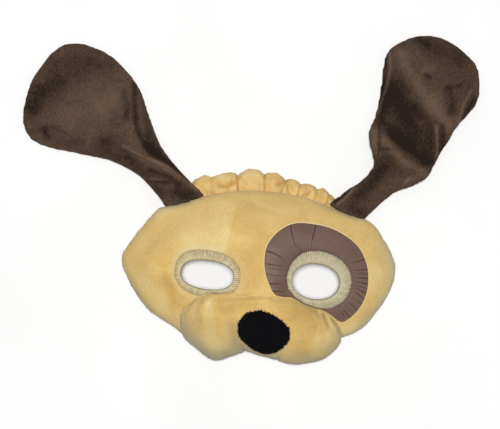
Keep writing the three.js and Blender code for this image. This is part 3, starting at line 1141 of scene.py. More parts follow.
@dataclass(frozen=True)
class Oval:
    """A rounded oval seen from above.

    Attributes:
        x: middle, to the right.
        y: middle, towards the forehead.
        half_width: reach along its long axis.
        half_height: reach along its short axis.
        tilt: turn of its long axis, in degrees.
        squareness: 2 for an ellipse, more for squarer corners.
    """

    x: float
    y: float
    half_width: float
    half_height: float
    tilt: float
    squareness: float

    def reach(self, bearing: np.ndarray) -> np.ndarray:
        """Measures from the middle to the edge.

        Args:
            bearing: bearings from the middle, in degrees.

        Returns:
            One distance for each bearing.
        """
        angle = np.radians(bearing - self.tilt)
        wide = np.abs(np.cos(angle) / self.half_width) ** self.squareness
        high = np.abs(np.sin(angle) / self.half_height) ** self.squareness
        return (wide + high) ** (-1 / self.squareness)

    def edge(self, bearing: np.ndarray, outset: np.ndarray | float = 0.0) -> np.ndarray:
        """Follows the edge.

        Args:
            bearing: bearings from the middle, in degrees.
            outset: how far outside the edge to go.

        Returns:
            The x and y of one spot for each bearing.
        """
        reach = self.reach(bearing) + outset
        angle = np.radians(bearing)
        return np.stack([self.x + reach * np.cos(angle), self.y + reach * np.sin(angle)], axis=-1)

    def route(self, outset: float) -> Route:
        """Gives a route all the way round, at some distance outside the edge."""
        return tuple((float(x), float(y)) for x, y in self.edge(np.arange(0, 361, 15), outset))

    def share(self, points: np.ndarray) -> np.ndarray:
        """Measures how far out points lie.

        Args:
            points: x, y and z of the points, one row each.

        Returns:
            Each point's distance from the middle, as a share of the edge's.
        """
        offset = points[:, :2] - (self.x, self.y)
        bearing = np.degrees(np.arctan2(offset[:, 1], offset[:, 0]))
        return np.linalg.norm(offset, axis=1) / self.reach(bearing)


LEFT_OPENING = Oval(-26.7, -45.6, 16.0, 8.7, -7.0, 2.4)
LEFT_BORDER = Oval(-26.5, -44.8, 20.4, 14.4, -10.0, 2.3)
RIGHT_OPENING = Oval(39.2, -49.7, 14.4, 10.7, -8.0, 2.1)
RIGHT_BORDER = Oval(41.5, -48.6, 20.1, 17.4, -20.0, 2.2)


@dataclass
class Ground:
    """The face, on which thinner pieces are laid, and what covers a part of it.

    Attributes:
        face: the face.
        fit_facing: how far up its surface has to face for a smooth surface to be fitted to it.
        fit_unit: distance that counts as one in that fit.
        fit_terms: number of powers in it.
        eye_band: the two shares of an eye border's reach between which a surface is fitted.
        open_steps: number of places across a ring where the muzzle is felt for.
        open_least: the least share of a ring's width that stays.
        open_margin: how far before the muzzle a ring ends, as a share of its width.
        blend_least: the fewest sections over which a ring's edge is evened out.
        blend_part: or one in so many of its sections, where that is more.
    """

    face: SoftForm
    fit_facing: float = 0.5
    fit_unit: float = 20.0
    fit_terms: int = 4
    eye_band: Spot = (0.86, 1.16)
    open_steps: int = 37
    open_least: float = 0.1
    open_margin: float = 0.02
    blend_least: int = 3
    blend_part: int = 120

    def __post_init__(self) -> None:
        """Gets the face ready, with nothing on it yet."""
        self.face_tree = self.face.tree()
        self.cover_tree = None

    def cover(self, form: SoftForm) -> None:
        """Notes the form that covers a part of the face."""
        self.cover_tree = form.tree()

    @staticmethod
    def drop(tree: BVHTree, x: float, y: float) -> float | None:
        """Gives the height of a surface under a spot, or None where there is none."""
        hit = tree.ray_cast(Vector((x * MM, y * MM, SKY_HEIGHT * MM)), Vector((0, 0, -1)))[0]
        return None if hit is None else hit.z / MM

    def heights(self, spots: np.ndarray) -> np.ndarray:
        """Gives the height of the face under each spot, and 0 beside it."""
        found = [self.drop(self.face_tree, x, y) for x, y in spots]
        return np.array([0.0 if height is None else height for height in found])

    def fit(self, near: np.ndarray, middle: Spot) -> Heights:
        """Fits a smooth surface to the upper side of a part of the face.

        Args:
            near: tells for each of the face's points whether it belongs to that part.
            middle: spot in the middle of the part.

        Returns:
            A function from spots to heights.
        """
        points = self.face.points()
        chosen = near & (self.face.normals()[:, 2] > self.fit_facing)

        def powers(spots: np.ndarray) -> np.ndarray:
            """Works out the terms of the fitted surface.

            Args:
                spots: x and y of the spots, one row each.

            Returns:
                The terms at each spot, one row each.
            """
            x = (spots[..., 0] - middle[0]) / self.fit_unit
            y = (spots[..., 1] - middle[1]) / self.fit_unit
            pairs = [(i, j) for i in range(self.fit_terms) for j in range(self.fit_terms - i)]
            return np.stack([x**i * y**j for i, j in pairs], axis=-1)

        weights = np.linalg.lstsq(powers(points[chosen]), points[chosen, 2], rcond=None)[0]
        return lambda spots: powers(spots) @ weights

    def curve(self, oval: Oval) -> Heights:
        """Fits a smooth surface to the face round an eye, which runs on across the hole.

        Args:
            oval: edge of the border round the eye.

        Returns:
            A function from spots to heights.
        """
        share = oval.share(self.face.points())
        near, far = self.eye_band
        return self.fit((share > near) & (share < far), (oval.x, oval.y))

    def open_share(self, inner: np.ndarray, outer: np.ndarray, height: Heights) -> np.ndarray:
        """Finds how far out a ring may reach before the muzzle covers it.

        Args:
            inner: spots on the ring's inner edge.
            outer: spots on its outer edge, one for each inner spot.
            height: height of the ring at spots.

        Returns:
            One share of the way from the inner to the outer edge for each pair of spots.
        """
        steps = np.linspace(self.open_least, 1, self.open_steps)
        found = np.ones(len(inner))
        for row, (start, end) in enumerate(zip(inner, outer)):
            for step in steps:
                spot = start + step * (end - start)
                top = self.drop(self.cover_tree, *spot)
                if top is not None and top > height(spot):
                    found[row] = max(step - self.open_margin, self.open_least)
                    break
        width = max(self.blend_least, len(found) // self.blend_part)
        wrapped = np.concatenate([found[-width:], found, found[:width]])
        low = np.min([wrapped[i : i + len(found)] for i in range(2 * width + 1)], axis=0)
        wrapped = np.concatenate([low[-width:], low, low[:width]])
        return np.mean([wrapped[i : i + len(found)] for i in range(2 * width + 1)], axis=0)


def ring_faces(around: int, section: int) -> np.ndarray:
    """Numbers the faces of a grid of points that closes on itself both ways.

    Args:
        around: number of sections.
        section: number of points in each section.

    Returns:
        The numbers of the points round each face, one row each.
    """
    row, column = np.meshgrid(np.arange(around), np.arange(section), indexing="ij")
    next_row, next_column = (row + 1) % around, (column + 1) % section
    corners = [(row, column), (next_row, column), (next_row, next_column), (row, next_column)]
    return np.stack([(r * section + c).ravel() for r, c in corners], axis=1)


@dataclass(kw_only=True)
class PlushPiece:
    """A soft piece that starts from its solid and is covered with pile.

    Attributes:
        node: the solid that it stands for.
        name: the piece's name.
        pile_name: its pile's name.
        finish: what it is made of.
        slot: the record's material slot.
        fill: how tightly it is filled, from 0 to 1; not used.
        voxel: size of the even mesh that covers the solid.
        rounds: rounds of smoothing over the solid's facets.
        pile: its fibres.
        pulls: where its edge is drawn out of shape.
        strokes: bands of nap tone, painted highlights and painted shade over the pile.
        grey_shade_strokes: bands of painted grey shade and sheen.
    """

    node: str
    name: str
    pile_name: str
    finish: Plush
    slot: Slot
    fill: float
    voxel: float
    rounds: int
    pile: Pile
    pulls: tuple[Pull, ...] = ()
    strokes: tuple[Stroke, ...] = ()
    grey_shade_strokes: tuple[Stroke, ...] = ()

    def build(self) -> SoftForm:
        """Builds and dresses the piece and its pile.

        Returns:
            The piece's form.
        """
        form = SoftForm.from_node(self.node, self.name)
        form.knit(self.voxel, self.rounds)
        self.shape(form)
        form.brush(self.strokes, self.grey_shade_strokes)
        form.dress(self.finish, self.slot, [self.node])
        self.pile.grow(form, self.pile_name).dress(self.finish, self.slot)
        return form

    def shape(self, form: SoftForm) -> None:
        """Gives the form its soft shape."""
        raise NotImplementedError


@dataclass(kw_only=True)
class StuffedPiece(PlushPiece):
    """A plush piece that its stuffing swells.

    Attributes:
        stuffing: what fills it.
        swells: low unevenness of its surface.
        creases: folds, gathers and lips of the cloth.
        crease_facing: how far up a surface has to face to take them.
    """

    stuffing: Stuffing
    swells: Unevenness
    creases: tuple[Crease, ...]
    crease_facing: float = 0.1

    def shape(self, form: SoftForm) -> None:
        """Stuffs the form, and makes it uneven and creased.

        Args:
            form: the piece's form.
        """
        self.stuff(form)
        form.pull(self.pulls)
        form.refine()
        form.push(self.bumps(form))
        form.crease(self.creases, self.crease_facing)

    def stuff(self, form: SoftForm) -> None:
        """Fills the form with its stuffing."""
        self.stuffing.swell(form)

    def bumps(self, form: SoftForm) -> np.ndarray:
        """Gives how far the unevenness lifts each point of the form."""
        return self.swells.heights(form.points())


@dataclass(kw_only=True)
class FacePanel(StuffedPiece):
    """The padded face, open behind."""

    node: str = "face_panel"
    name: str = "padded_face"
    pile_name: str = "face_pile"
    finish: Plush = CREAM
    slot: Slot = Slot.CREAM_PLUSH
    fill: float = 0.5
    voxel: float = 2.0
    rounds: int = 22
    stuffing: Stuffing = Stuffing(pressure=6.0, slack=0.4, cap=1.5)
    swells: Unevenness = Unevenness(wavelength=26.0, height=0.2, seed=11)
    # Mostly nap tone; the pale band on the right rim is painted sheen, and the dark bands along the left
    # rim and the low creases are painted shade
    strokes: tuple[Stroke, ...] = (
        Stroke(((-8, -2), (-10.5, -10.6), (-13.7, -23.3), (-18, -36)), 12.0, -0.12, 0.25),
        Stroke(((-51, -48), (-46, -62)), 4.5, -0.55),
        Stroke(((-38, -26), (-24, -22), (-16, -27)), 8.0, 0.25),
        Stroke(((-68, -30), (-66, -46)), 7.0, 0.15),
        Stroke(((-81, -34), (-79, -48), (-70, -62)), 4.0, -0.4),
        Stroke(((-57, -8), (-46, -3), (-36, 1)), 3.0, 0.5),
        Stroke(LEFT_BORDER.route(1.4), 2.2, 0.3),
        Stroke(((85, -26), (90, -45), (84, -62), (72, -77), (62, -83)), 5.0, 0.75),
        Stroke(((-70, -50), (-55, -60)), 6.0, 0.2),
        Stroke(((4, -26), (6, -44)), 7.0, -0.3),
        Stroke(((76, -45), (70, -62)), 6.0, 0.3),
        Stroke(((74, -60), (72, -68)), 5.0, -0.4),
    )
    creases: tuple[Crease, ...] = (
        Crease(((-47, -49), (-43, -57), (-35, -61)), 1.2, -0.6),
        Crease(((-10, -56), (0, -54.5), (9, -55)), 1.6, 0.5),
        Crease(((0, -47), (5, -45.5), (9, -46)), 1.4, 0.35),
        Crease(((70, -58), (75, -64)), 1.6, 0.5),
    )
    pulls: tuple[Pull, ...] = (
        Pull((-80, -37), (-1.3, 0), 8),
        Pull((-57, -5), (-0.6, 1.6), 7),
        Pull((-72, -20), (-0.6, 0.5), 8),
        Pull((-77, -54), (-0.6, -0.3), 8),
        Pull((-66, -65), (-1.0, -0.9), 10),
        Pull((66, -78), (1.0, -1.2), 12),
        Pull((88, -40), (0.7, 0.2), 9),
        Pull((76, -14), (0.8, 0.7), 7),
    )
    # Painted grey shade and sheen along the rims and round the left eye's border
    grey_shade_strokes: tuple[Stroke, ...] = (
        Stroke(LEFT_BORDER.route(1.4), 2.2, 0.16),
        Stroke(((84, -28), (88, -45), (84, -62), (70, -78)), 6.0, 0.27),
        Stroke(((-57, -8), (-46, -3)), 3.0, 0.15),
        Stroke(((-76, -52), (-64, -68), (-50, -82)), 5.0, 0.25),
    )
    pile: Pile = Pile(
        count=32000, length=0.9, radius=0.12, lean=(0.15, -0.9, 0.0), spread=0.4, seed=21, lowest=-0.8
    )


@dataclass(kw_only=True)
class Muzzle(StuffedPiece):
    """The stuffed muzzle, gathered where it is sewn to the face.

    Attributes:
        ground: the face that it is sewn to.
        seam_places: x of places along the upper seam.
        seam_lifts: how far the cloth is drawn up the face at each of them.
        seam_band: the two places along Y between which that lift grows from nothing.
        bed_middle: middle of the part of the face under the seam.
        bed_reach: reach of that part along X, from the middle of the mask, and along Y, from its own.
        rim_band: the two heights between which the smoothing of the lower rim dies away.
        rim_rounds: rounds of that smoothing.
        rim_step: how far each round goes.
    """

    ground: Ground
    node: str = "muzzle"
    name: str = "stuffed_muzzle"
    pile_name: str = "muzzle_pile"
    finish: Plush = CREAM
    slot: Slot = Slot.CREAM_PLUSH
    fill: float = 0.8
    voxel: float = 1.5
    rounds: int = 18
    seam_places: tuple[float, ...] = (-46, -36, -28, -10, 4, 18, 26, 34, 45, 51, 57)
    seam_lifts: tuple[float, ...] = (0.6, 2.0, 3.2, 4.0, 3.0, 2.0, 2.8, 1.8, 2.6, 1.4, 0.0)
    seam_band: Spot = (-80.0, -62.0)
    bed_middle: Spot = (5.0, -60.0)
    bed_reach: Spot = (60.0, 16.0)
    rim_band: Spot = (8.0, 14.0)
    rim_rounds: int = 24
    rim_step: float = 0.5
    stuffing: Stuffing = Stuffing(pressure=20.0, slack=0.4, cap=1.5)
    swells: Unevenness = Unevenness(wavelength=17.0, height=0.2, seed=12)
    crease_facing: float = -0.2
    creases: tuple[Crease, ...] = (
        Crease(((-23.5, -60), (-26, -64.5), (-28.5, -71)), 1.3, 0.5, FAR_END),
        Crease(((-30, -60.5), (-33, -65), (-35, -72)), 1.3, 0.4, FAR_END),
        Crease(((-38, -63), (-40.5, -68), (-41, -75)), 1.3, 0.4),
        Crease(((40.5, -67.5), (43.2, -73), (44, -79)), 1.1, 0.55, FAR_END),
        Crease(((44.3, -69.5), (47.3, -75.5), (49, -80)), 1.1, 0.6, FAR_END),
        Crease(((50, -72.5), (53.2, -77), (55, -81.5)), 1.1, 0.55, FAR_END),
        Crease(((-3.2, -93.5), (-4.4, -91), (-5.6, -88.5)), 0.9, 1.0, FAR_END),
        Crease(((15.5, -98), (17.5, -95.5), (20, -93.5)), 0.9, 0.7, FAR_END),
        Crease(((-20, -60), (-6, -58.5), (8, -59.5)), 1.2, 0.5),
        Crease(((-8, -62.5), (2, -62), (10, -63)), 1.3, 0.4),
    )
    # Painted shade in the creases and the groove left of the nose, painted highlights on the pleats'
    # ridges, and broad lighter and darker patches
    strokes: tuple[Stroke, ...] = (
        Stroke(((-24, -62), (-27, -68)), 2.5, 0.5),
        Stroke(((-38, -80), (-20, -90)), 7.0, 0.15),
        Stroke(((28, -72), (32, -88)), 8.0, -0.5),
        Stroke(((-11, -76), (-8, -86), (-4, -92)), 3.5, -0.3),
        Stroke(((40, -88), (48, -84)), 6.0, 0.35),
        Stroke(((-10, -64), (2, -66)), 5.0, -0.25),
        Stroke(((36, -66), (39, -76)), 4.0, -0.35),
        Stroke(((-19, -62), (-14, -66)), 4.0, -0.3),
        Stroke(((-28.4, -66), (-30.4, -73)), 1.4, -0.4),
        Stroke(((41, -68.6), (43, -76)), 0.9, 0.3),
        Stroke(((46, -70.6), (51.5, -79)), 0.9, 0.25),
        Stroke(((43.6, -70), (46, -77.4)), 0.9, -0.5),
        Stroke(((49, -72.4), (54, -81)), 0.9, -0.5),
    )
    pulls: tuple[Pull, ...] = (
        Pull((-36, -90), (0.7, 0.6), 9),
        Pull((-14, -95), (0, 0.7), 6),
        Pull((-3, -93), (0, 1.8), 7),
        Pull((14, -98), (0, 2.0), 9),
        Pull((30, -101), (0, 0.5), 9),
    )
    # Painted grey shade along the lower rim, over the lower-left lobe and in the groove left of the nose
    grey_shade_strokes: tuple[Stroke, ...] = (
        Stroke(((-47, -80), (-37, -90), (-24, -94), (-12, -92)), 6.0, 0.4),
        Stroke(((4, -95), (20, -99), (42, -95)), 5.0, 0.25),
        Stroke(((-46, -72), (-20, -80)), 11.0, 0.15),
        Stroke(((-11, -76), (-8, -86), (-4, -92)), 4.0, 0.3),
    )
    pile: Pile = Pile(
        count=19000, length=0.9, radius=0.12, lean=(0.1, -0.9, 0.0), spread=0.4, seed=22, lowest=-0.8
    )

    def stuff(self, form: SoftForm) -> None:
        """Rounds the lower rim, fills the form and draws its upper edge up the face.

        Args:
            form: the muzzle's form.
        """
        low, high = self.rim_band
        rim = np.clip((high - form.points()[:, 2]) / (high - low), 0, 1)
        form.even((self.rim_step,) * self.rim_rounds, rim)
        self.stuffing.swell(form)
        self.draw_up(form)

    def draw_up(self, form: SoftForm) -> None:
        """Draws the upper edge of the cloth up the face.

        Args:
            form: the muzzle's form.
        """
        face = self.ground.face.points()
        wide, high = self.bed_reach
        near = (np.abs(face[:, 0]) < wide) & (np.abs(face[:, 1] - self.bed_middle[1]) < high)
        bed = self.ground.fit(near, self.bed_middle)
        points = form.points()
        low, high = self.seam_band
        share = np.clip((points[:, 1] - low) / (high - low), 0, 1)
        lift = np.interp(points[:, 0], self.seam_places, self.seam_lifts) * share**2 * (3 - 2 * share)
        drawn = points + lift[:, None] * (0.0, 1.0, 0.0)
        drawn[:, 2] += bed(drawn) - bed(points)
        form.place(drawn)


@dataclass(kw_only=True)
class Nose(PlushPiece):
    """The black nose, a firm pad under long curly pile.

    Attributes:
        inset: depth of the pad under the tips of the pile.
        inset_reach: how far past upright the pad's surface is set in.
        lumps: unevenness of the pad.
        lift: how far the pad stands out of the muzzle's pile.
    """

    node: str = "nose"
    name: str = "nose_pad"
    pile_name: str = "nose_pile"
    finish: Plush = BLACK
    slot: Slot = Slot.BLACK_PILE
    fill: float = 0.7
    voxel: float = 0.9
    rounds: int = 15
    inset: float = 1.2
    inset_reach: float = 0.5
    lumps: Unevenness = Unevenness(wavelength=4.0, height=0.35, seed=13)
    pulls: tuple[Pull, ...] = (
        Pull((-2.7, -74.4), (-0.8, 0.7), 6),
        Pull((22, -78), (1.0, 0.5), 6),
        Pull((-3.7, -91), (0.8, 0.9), 6),
        Pull((21, -91), (-0.9, 0.6), 6),
    )
    lift: float = 0.8
    pile: Pile = Pile(
        count=4600,
        length=1.6,
        radius=0.3,
        lean=(0.0, 0.0, 0.0),
        spread=0.4,
        seed=23,
        bends=2,
        curl=0.35,
        sink=0.5,
        sheer=False,
    )

    def shape(self, form: SoftForm) -> None:
        """Makes the pad lumpy, and sets it in under the tips of its pile.

        Args:
            form: the pad's form.
        """
        upward = np.clip(form.normals()[:, 2] + self.inset_reach, 0, 1)
        form.push((self.lumps.heights(form.points()) - self.inset) * upward)
        form.pull(self.pulls)
        form.place(form.points() + (0.0, 0.0, self.lift))


@dataclass(frozen=True)
class StitchRow:
    """One point of a stitched border's section.

    Attributes:
        across: place from 0 at the opening to 1 at the outer edge.
        rise: height above the face.
        ridge_up: share of the threads' relief that goes up.
        ridge_in: share of the threads' relief that goes in towards the opening.
        tone: how much lighter, or below zero how much darker, the thread is, as painted light and shade.
    """

    across: float
    rise: float
    ridge_up: float = 0.0
    ridge_in: float = 0.0
    tone: float = 0.0


# Rows are painted lighter on the crown and painted darker where the stitching meets the face and down the
# hole's wall
STITCH_SECTION = (
    StitchRow(1.0, -0.4, tone=-0.9),
    StitchRow(0.99, 0.2, 0.6, tone=-0.6),
    StitchRow(0.95, 0.6, 1.0, tone=-0.3),
    StitchRow(0.86, 0.95, 1.0, tone=-0.1),
    StitchRow(0.72, 1.2, 1.0),
    StitchRow(0.55, 1.35, 1.0, tone=0.05),
    StitchRow(0.38, 1.4, 0.8, tone=0.15),
    StitchRow(0.22, 1.3, 0.5, tone=0.2),
    StitchRow(0.1, 1.05, 0.3, 0.1),
    StitchRow(0.03, 0.6, 0.1, 0.2, tone=-0.6),
    StitchRow(0.0, -0.2, 0.0, 0.2, tone=-0.9),
    StitchRow(0.0, -2.2, 0.0, 0.2, tone=-0.9),
    StitchRow(0.02, -4.0, 0.0, 0.2, tone=-0.9),
    StitchRow(0.1, -4.4, tone=-0.9),
    StitchRow(0.18, -3.6, tone=-0.9),
    StitchRow(0.2, -0.4, tone=-0.9),
    StitchRow(0.6, -0.4, tone=-0.9),
)


@dataclass
class EyeBorder:
    """Close stitching round one eye hole, which lines the cut edge too.

    Attributes:
        node: the solid that it stands for.
        name: the piece's name.
        opening: edge of the hole.
        border: outer edge of the stitching.
        seed: start of the random draws.
        finish: the thread.
        contrast: how much painted shade the gaps between threads get, and painted light their crowns.
        pitch: distance from thread to thread.
        relief: height of a thread over the gap beside it.
        relief_middle: share of that height below the border's section.
        scallop: how far the threads' ends stand out.
        samples: points across each thread.
        rise: height above the face at which the muzzle covers it.
        thickness: range of the threads' thickness, as shares of the usual one.
        end_spread: how much the threads' ends differ.
        tone_spread: how much their tones differ.
        tone_middle: place from a thread's side, 0, to its middle, 1, with the usual tone; painted shade
            lies outside it, painted light inside.
        flat_tone: share of the gaps' painted shade where threads have no relief.
    """

    node: str
    name: str
    opening: Oval
    border: Oval
    seed: int
    finish: Thread
    contrast: float
    pitch: float = 1.02
    relief: float = 0.5
    relief_middle: float = 0.6
    scallop: float = 0.18
    samples: int = 8
    rise: float = 0.6
    thickness: Spot = (0.9, 1.1)
    end_spread: float = 0.1
    tone_spread: float = 0.12
    tone_middle: float = 0.75
    flat_tone: float = 0.3

    def build(self, ground: Ground) -> SoftForm:
        """Builds and dresses the border.

        Args:
            ground: the surfaces that it lies on.

        Returns:
            The border's form.
        """
        wide = (self.opening.half_width + self.border.half_width) / 2
        high = (self.opening.half_height + self.border.half_height) / 2
        threads = round(2 * math.pi * math.sqrt((wide**2 + high**2) / 2) / self.pitch)
        around = threads * self.samples
        draw = np.random.default_rng(self.seed)
        bearing = np.arange(around) * 360 / around
        phase = (np.arange(around) % self.samples + 0.5) / self.samples
        thread = np.sin(phase * math.pi)
        round_top = thread * np.repeat(draw.uniform(*self.thickness, threads), self.samples)
        ends = np.repeat(draw.normal(0, self.end_spread, threads), self.samples)
        surface = ground.curve(self.border)
        inner = self.opening.edge(bearing)
        outer = self.border.edge(bearing, ends + self.scallop * (thread - 1))
        reach = ground.open_share(inner, outer, lambda spot: surface(spot) + self.rise)
        ridge = self.relief * (round_top - self.relief_middle)
        inward = (inner - outer) / np.linalg.norm(inner - outer, axis=1)[:, None]
        rows = []
        for row in STITCH_SECTION:
            spots = inner + (outer - inner) * (row.across * reach)[:, None]
            spots = spots + inward * (ridge * row.ridge_in)[:, None]
            rows.append(np.column_stack([spots, surface(spots) + row.rise + ridge * row.ridge_up]))
        points = np.stack(rows, axis=1)
        faces = ring_faces(around, len(STITCH_SECTION))
        form = SoftForm.from_faces(self.name, points.reshape(-1, 3), faces)
        # Each thread's own random tone, plus painted shade in the gaps between threads and painted light on
        # their crowns
        gaps = np.repeat(draw.normal(0, self.tone_spread, threads), self.samples)
        gaps += self.contrast * (thread - self.tone_middle)
        shares = [self.flat_tone + (1 - self.flat_tone) * row.ridge_up for row in STITCH_SECTION]
        tones = [gaps * share + row.tone for share, row in zip(shares, STITCH_SECTION)]
        form.store(TONE_AND_SHADE, np.stack(tones, axis=1).ravel())
        form.dress(self.finish, Slot.CREAM_THREAD, [self.node])
        return form


LEFT_STITCHING = EyeBorder(
    node="eye_border_left",
    name="left_eye_stitching",
    opening=LEFT_OPENING,
    border=LEFT_BORDER,
    seed=31,
    finish=LEFT_THREAD,
    contrast=1.2,
)
RIGHT_STITCHING = EyeBorder(
    node="eye_border_right",
    name="right_eye_stitching",
    opening=RIGHT_OPENING,
    border=RIGHT_BORDER,
    seed=32,
    finish=RIGHT_THREAD,
    contrast=1.0,
)

# Middle of the satin patch, and its reaches from there along bearings in degrees
PATCH_MIDDLE = (40.0, -47.0)
PATCH_BEARINGS = (0, 32, 60, 92, 117, 146, 163, 194, 235, 272, 300, 330)
PATCH_REACHES = (31.6, 31.3, 30.5, 32.0, 35.8, 36.0, 33.4, 28.6, 26.5, 29.0, 32.0, 32.4)


def patch_edge(bearing: np.ndarray, outset: float = 0.0) -> np.ndarray:
    """Follows the outer edge of the satin patch.

    Args:
        bearing: bearings from the patch's middle, in degrees.
        outset: how far outside the edge to go.

    Returns:
        The x and y of one spot for each bearing.
    """
    keys = np.array([*PATCH_BEARINGS, 360.0])
    values = np.array([*PATCH_REACHES, PATCH_REACHES[0]])
    around_keys = np.concatenate([[keys[-2] - 360], keys, [keys[1] + 360]])
    around_values = np.concatenate([[values[-2]], values, [values[1]]])
    slopes = (around_values[2:] - around_values[:-2]) / (around_keys[2:] - around_keys[:-2])
    wrapped = np.mod(bearing, 360)
    row = np.clip(np.searchsorted(keys, wrapped, side="right") - 1, 0, len(keys) - 2)
    span = keys[row + 1] - keys[row]
    t = (wrapped - keys[row]) / span
    reach = (
        (2 * t**3 - 3 * t**2 + 1) * values[row]
        + (t**3 - 2 * t**2 + t) * span * slopes[row]
        + (3 * t**2 - 2 * t**3) * values[row + 1]
        + (t**3 - t**2) * span * slopes[row + 1]
    )
    angle = np.radians(bearing)
    middle_x, middle_y = PATCH_MIDDLE
    out = reach + outset
    return np.stack([middle_x + out * np.cos(angle), middle_y + out * np.sin(angle)], axis=-1)


@dataclass
class EyePatch:
    """Satin patch round one eye, puckered where it is sewn down, with a turned edge whose pale colour is a
    painted highlight.

    Attributes:
        around: sections round the patch.
        across: points from its inner to its outer edge.
        under_step: how many of them share one point of the underside.
        crown: height of the satin above the face between its two seams.
        seam: its height at the seams.
        gap: height of its underside above the face.
        thickness: its least thickness.
        tuck: how far its inner edge lies under the stitched border.
        tuck_share: share of its width that lies on the curve under that border.
        rise: height above the face at which the muzzle covers it.
        fold_shade: how strongly painted shade darkens the furrows.
        fold_shades: the darkest painted shade in the furrows and the lightest painted light on the swells
            beside them.
        painted_border_shadow: how much darker the painted shadow beside the stitched border makes it.
        border_shadow_reach: share of its width over which that painted shadow dies away.
        edge_radius: radius of the turned edge.
        edge_outset: how far outside the satin its middle lies, in radii.
        edge_steps: sections along it.
        edge_sides: points round each section.
        edge_first: bearing at which it starts to show.
        edge_last: bearing at which it goes under the muzzle.
        edge_thins: bearings between which it thins towards its start.
        edge_least: the share of its radius that is left there.
        cut: width and length of the cloth that it is cut from, in metres; not used.
        cut_area: flat area of the ring of cloth, in square metres; not used.
        pressed: share of the furrows' depth that is left in the cloth.
        puckers: furrows in the satin.
    """

    around: int = 720
    across: int = 61
    under_step: int = 5
    crown: float = 1.1
    seam: float = 0.3
    gap: float = 0.12
    thickness: float = 0.1
    tuck: float = 1.2
    tuck_share: float = 0.08
    rise: float = 0.7
    fold_shade: float = 1.6
    fold_shades: Spot = (-1.2, 0.4)
    painted_border_shadow: float = 0.5
    border_shadow_reach: float = 0.12
    edge_radius: float = 0.34
    edge_outset: float = 0.8
    edge_steps: int = 220
    edge_sides: int = 8
    edge_first: float = -60.0
    edge_last: float = 208.0
    edge_thins: Spot = (10.0, 70.0)
    edge_least: float = 0.6
    cut: tuple[float, float] = (0.067, 0.065)
    cut_area: float = 0.0022
    pressed: float = 0.55
    puckers: tuple[Crease, ...] = (
        Crease(((23.8, -15), (24.9, -21.5), (27, -28), (29.4, -31.6)), 0.36, 0.75, FAR_END),
        Crease(((26.2, -24.6), (28.6, -28.6), (31.6, -31)), 0.32, 0.5),
        Crease(((39.6, -14.8), (37.6, -22.4), (36.5, -29.6)), 0.36, 0.75, FAR_END),
        Crease(((37.9, -21), (36.4, -25.6)), 0.3, 0.4),
        Crease(((9.5, -30.8), (14.8, -32.8), (18.4, -35.2), (21.2, -38)), 0.38, 0.75, FAR_END),
        Crease(((9, -38.8), (14.8, -39.6), (20.6, -40.6)), 0.34, 0.55, FAR_END),
        Crease(((9.2, -41), (20, -43)), 0.3, 0.4),
        Crease(((9.6, -44.8), (15, -45.8), (20.6, -46)), 0.32, 0.45, FAR_END),
        Crease(((11.4, -50.6), (21, -50.8)), 0.36, 0.65, FAR_END),
        Crease(((12.6, -55), (18, -55.4), (21.8, -55.2)), 0.34, 0.6, FAR_END),
        Crease(((14.4, -58.6), (22.8, -57.8)), 0.32, 0.5, FAR_END),
        Crease(((69.2, -36.2), (64.6, -37.8), (60.2, -38.6)), 0.36, 0.65, FAR_END),
        Crease(((70.9, -42.4), (66, -43), (61.6, -42.6)), 0.36, 0.65, FAR_END),
        Crease(((71.2, -45.2), (64, -45)), 0.3, 0.4),
        Crease(((71.6, -48.2), (66.6, -47.6), (62, -47.2)), 0.34, 0.7, FAR_END),
        Crease(((71.4, -51.6), (66.4, -50.4), (62, -49.6)), 0.34, 0.7, FAR_END),
        Crease(((70.8, -54.2), (62.2, -51.6)), 0.3, 0.55, FAR_END),
        Crease(((70.2, -57), (62.4, -53.2)), 0.34, 0.7, FAR_END),
        Crease(((69, -60.8), (65, -57.4), (62, -55.6)), 0.34, 0.7, FAR_END),
        Crease(((67.4, -63.8), (61.6, -58.6)), 0.32, 0.6, FAR_END),
        Crease(((64.6, -67.6), (62, -64.6), (58.6, -62)), 0.36, 0.65, FAR_END),
        Crease(((60.6, -72.6), (58.6, -69.6), (55.4, -66.6)), 0.36, 0.7, FAR_END),
        Crease(((57.6, -71.6), (54.2, -67.6)), 0.32, 0.5),
    )

    def build(self, ground: Ground) -> list[SoftForm]:
        """Builds and dresses the patch and its edge, on the surfaces that they lie on."""
        return [self.build_satin(ground), self.build_edge(ground)]

    def build_satin(self, ground: Ground) -> SoftForm:
        """Builds and dresses the ring of satin.

        Args:
            ground: the surfaces that it lies on.

        Returns:
            The satin's form.
        """
        bearing = np.arange(self.around) * 360 / self.around
        inner = RIGHT_BORDER.edge(bearing, -self.tuck)
        outer = patch_edge(bearing)
        surface = ground.curve(RIGHT_BORDER)
        reach = ground.open_share(inner, outer, lambda spot: ground.heights(spot[None])[0] + self.rise)
        upper, lower, shade = [], [], []
        for share in np.linspace(0, 1, self.across):
            spots = inner + (outer - inner) * (share * reach)[:, None]
            base = np.maximum(ground.heights(spots), surface(spots) if share < self.tuck_share else 0)
            arch = self.seam + (self.crown - self.seam) * math.sin(math.pi * share) ** 0.5
            folds = sum(crease.heights(spots) for crease in self.puckers)
            top = np.maximum(arch + self.pressed * folds, self.gap + self.thickness)
            upper.append(np.column_stack([spots, base + top]))
            lower.append(np.column_stack([spots, base + self.gap]))
            # Painted shadow beside the stitched border, and painted shade in the furrows with painted light
            # on the swells
            border_shadow = self.painted_border_shadow * math.exp(-((share / self.border_shadow_reach) ** 2))
            shade.append(np.clip(self.fold_shade * folds / self.crown, *self.fold_shades) - border_shadow)
        points = np.stack(upper + lower[:: -self.under_step], axis=1)
        faces = ring_faces(self.around, points.shape[1])
        form = SoftForm.from_faces("satin_patch", points.reshape(-1, 3), faces)
        form.store(TONE_AND_SHADE, np.stack(shade + shade[:: -self.under_step], axis=1).ravel())
        piece = form.dress(SATIN, Slot.BROWN_SATIN, ["eye_patch"])
        return form

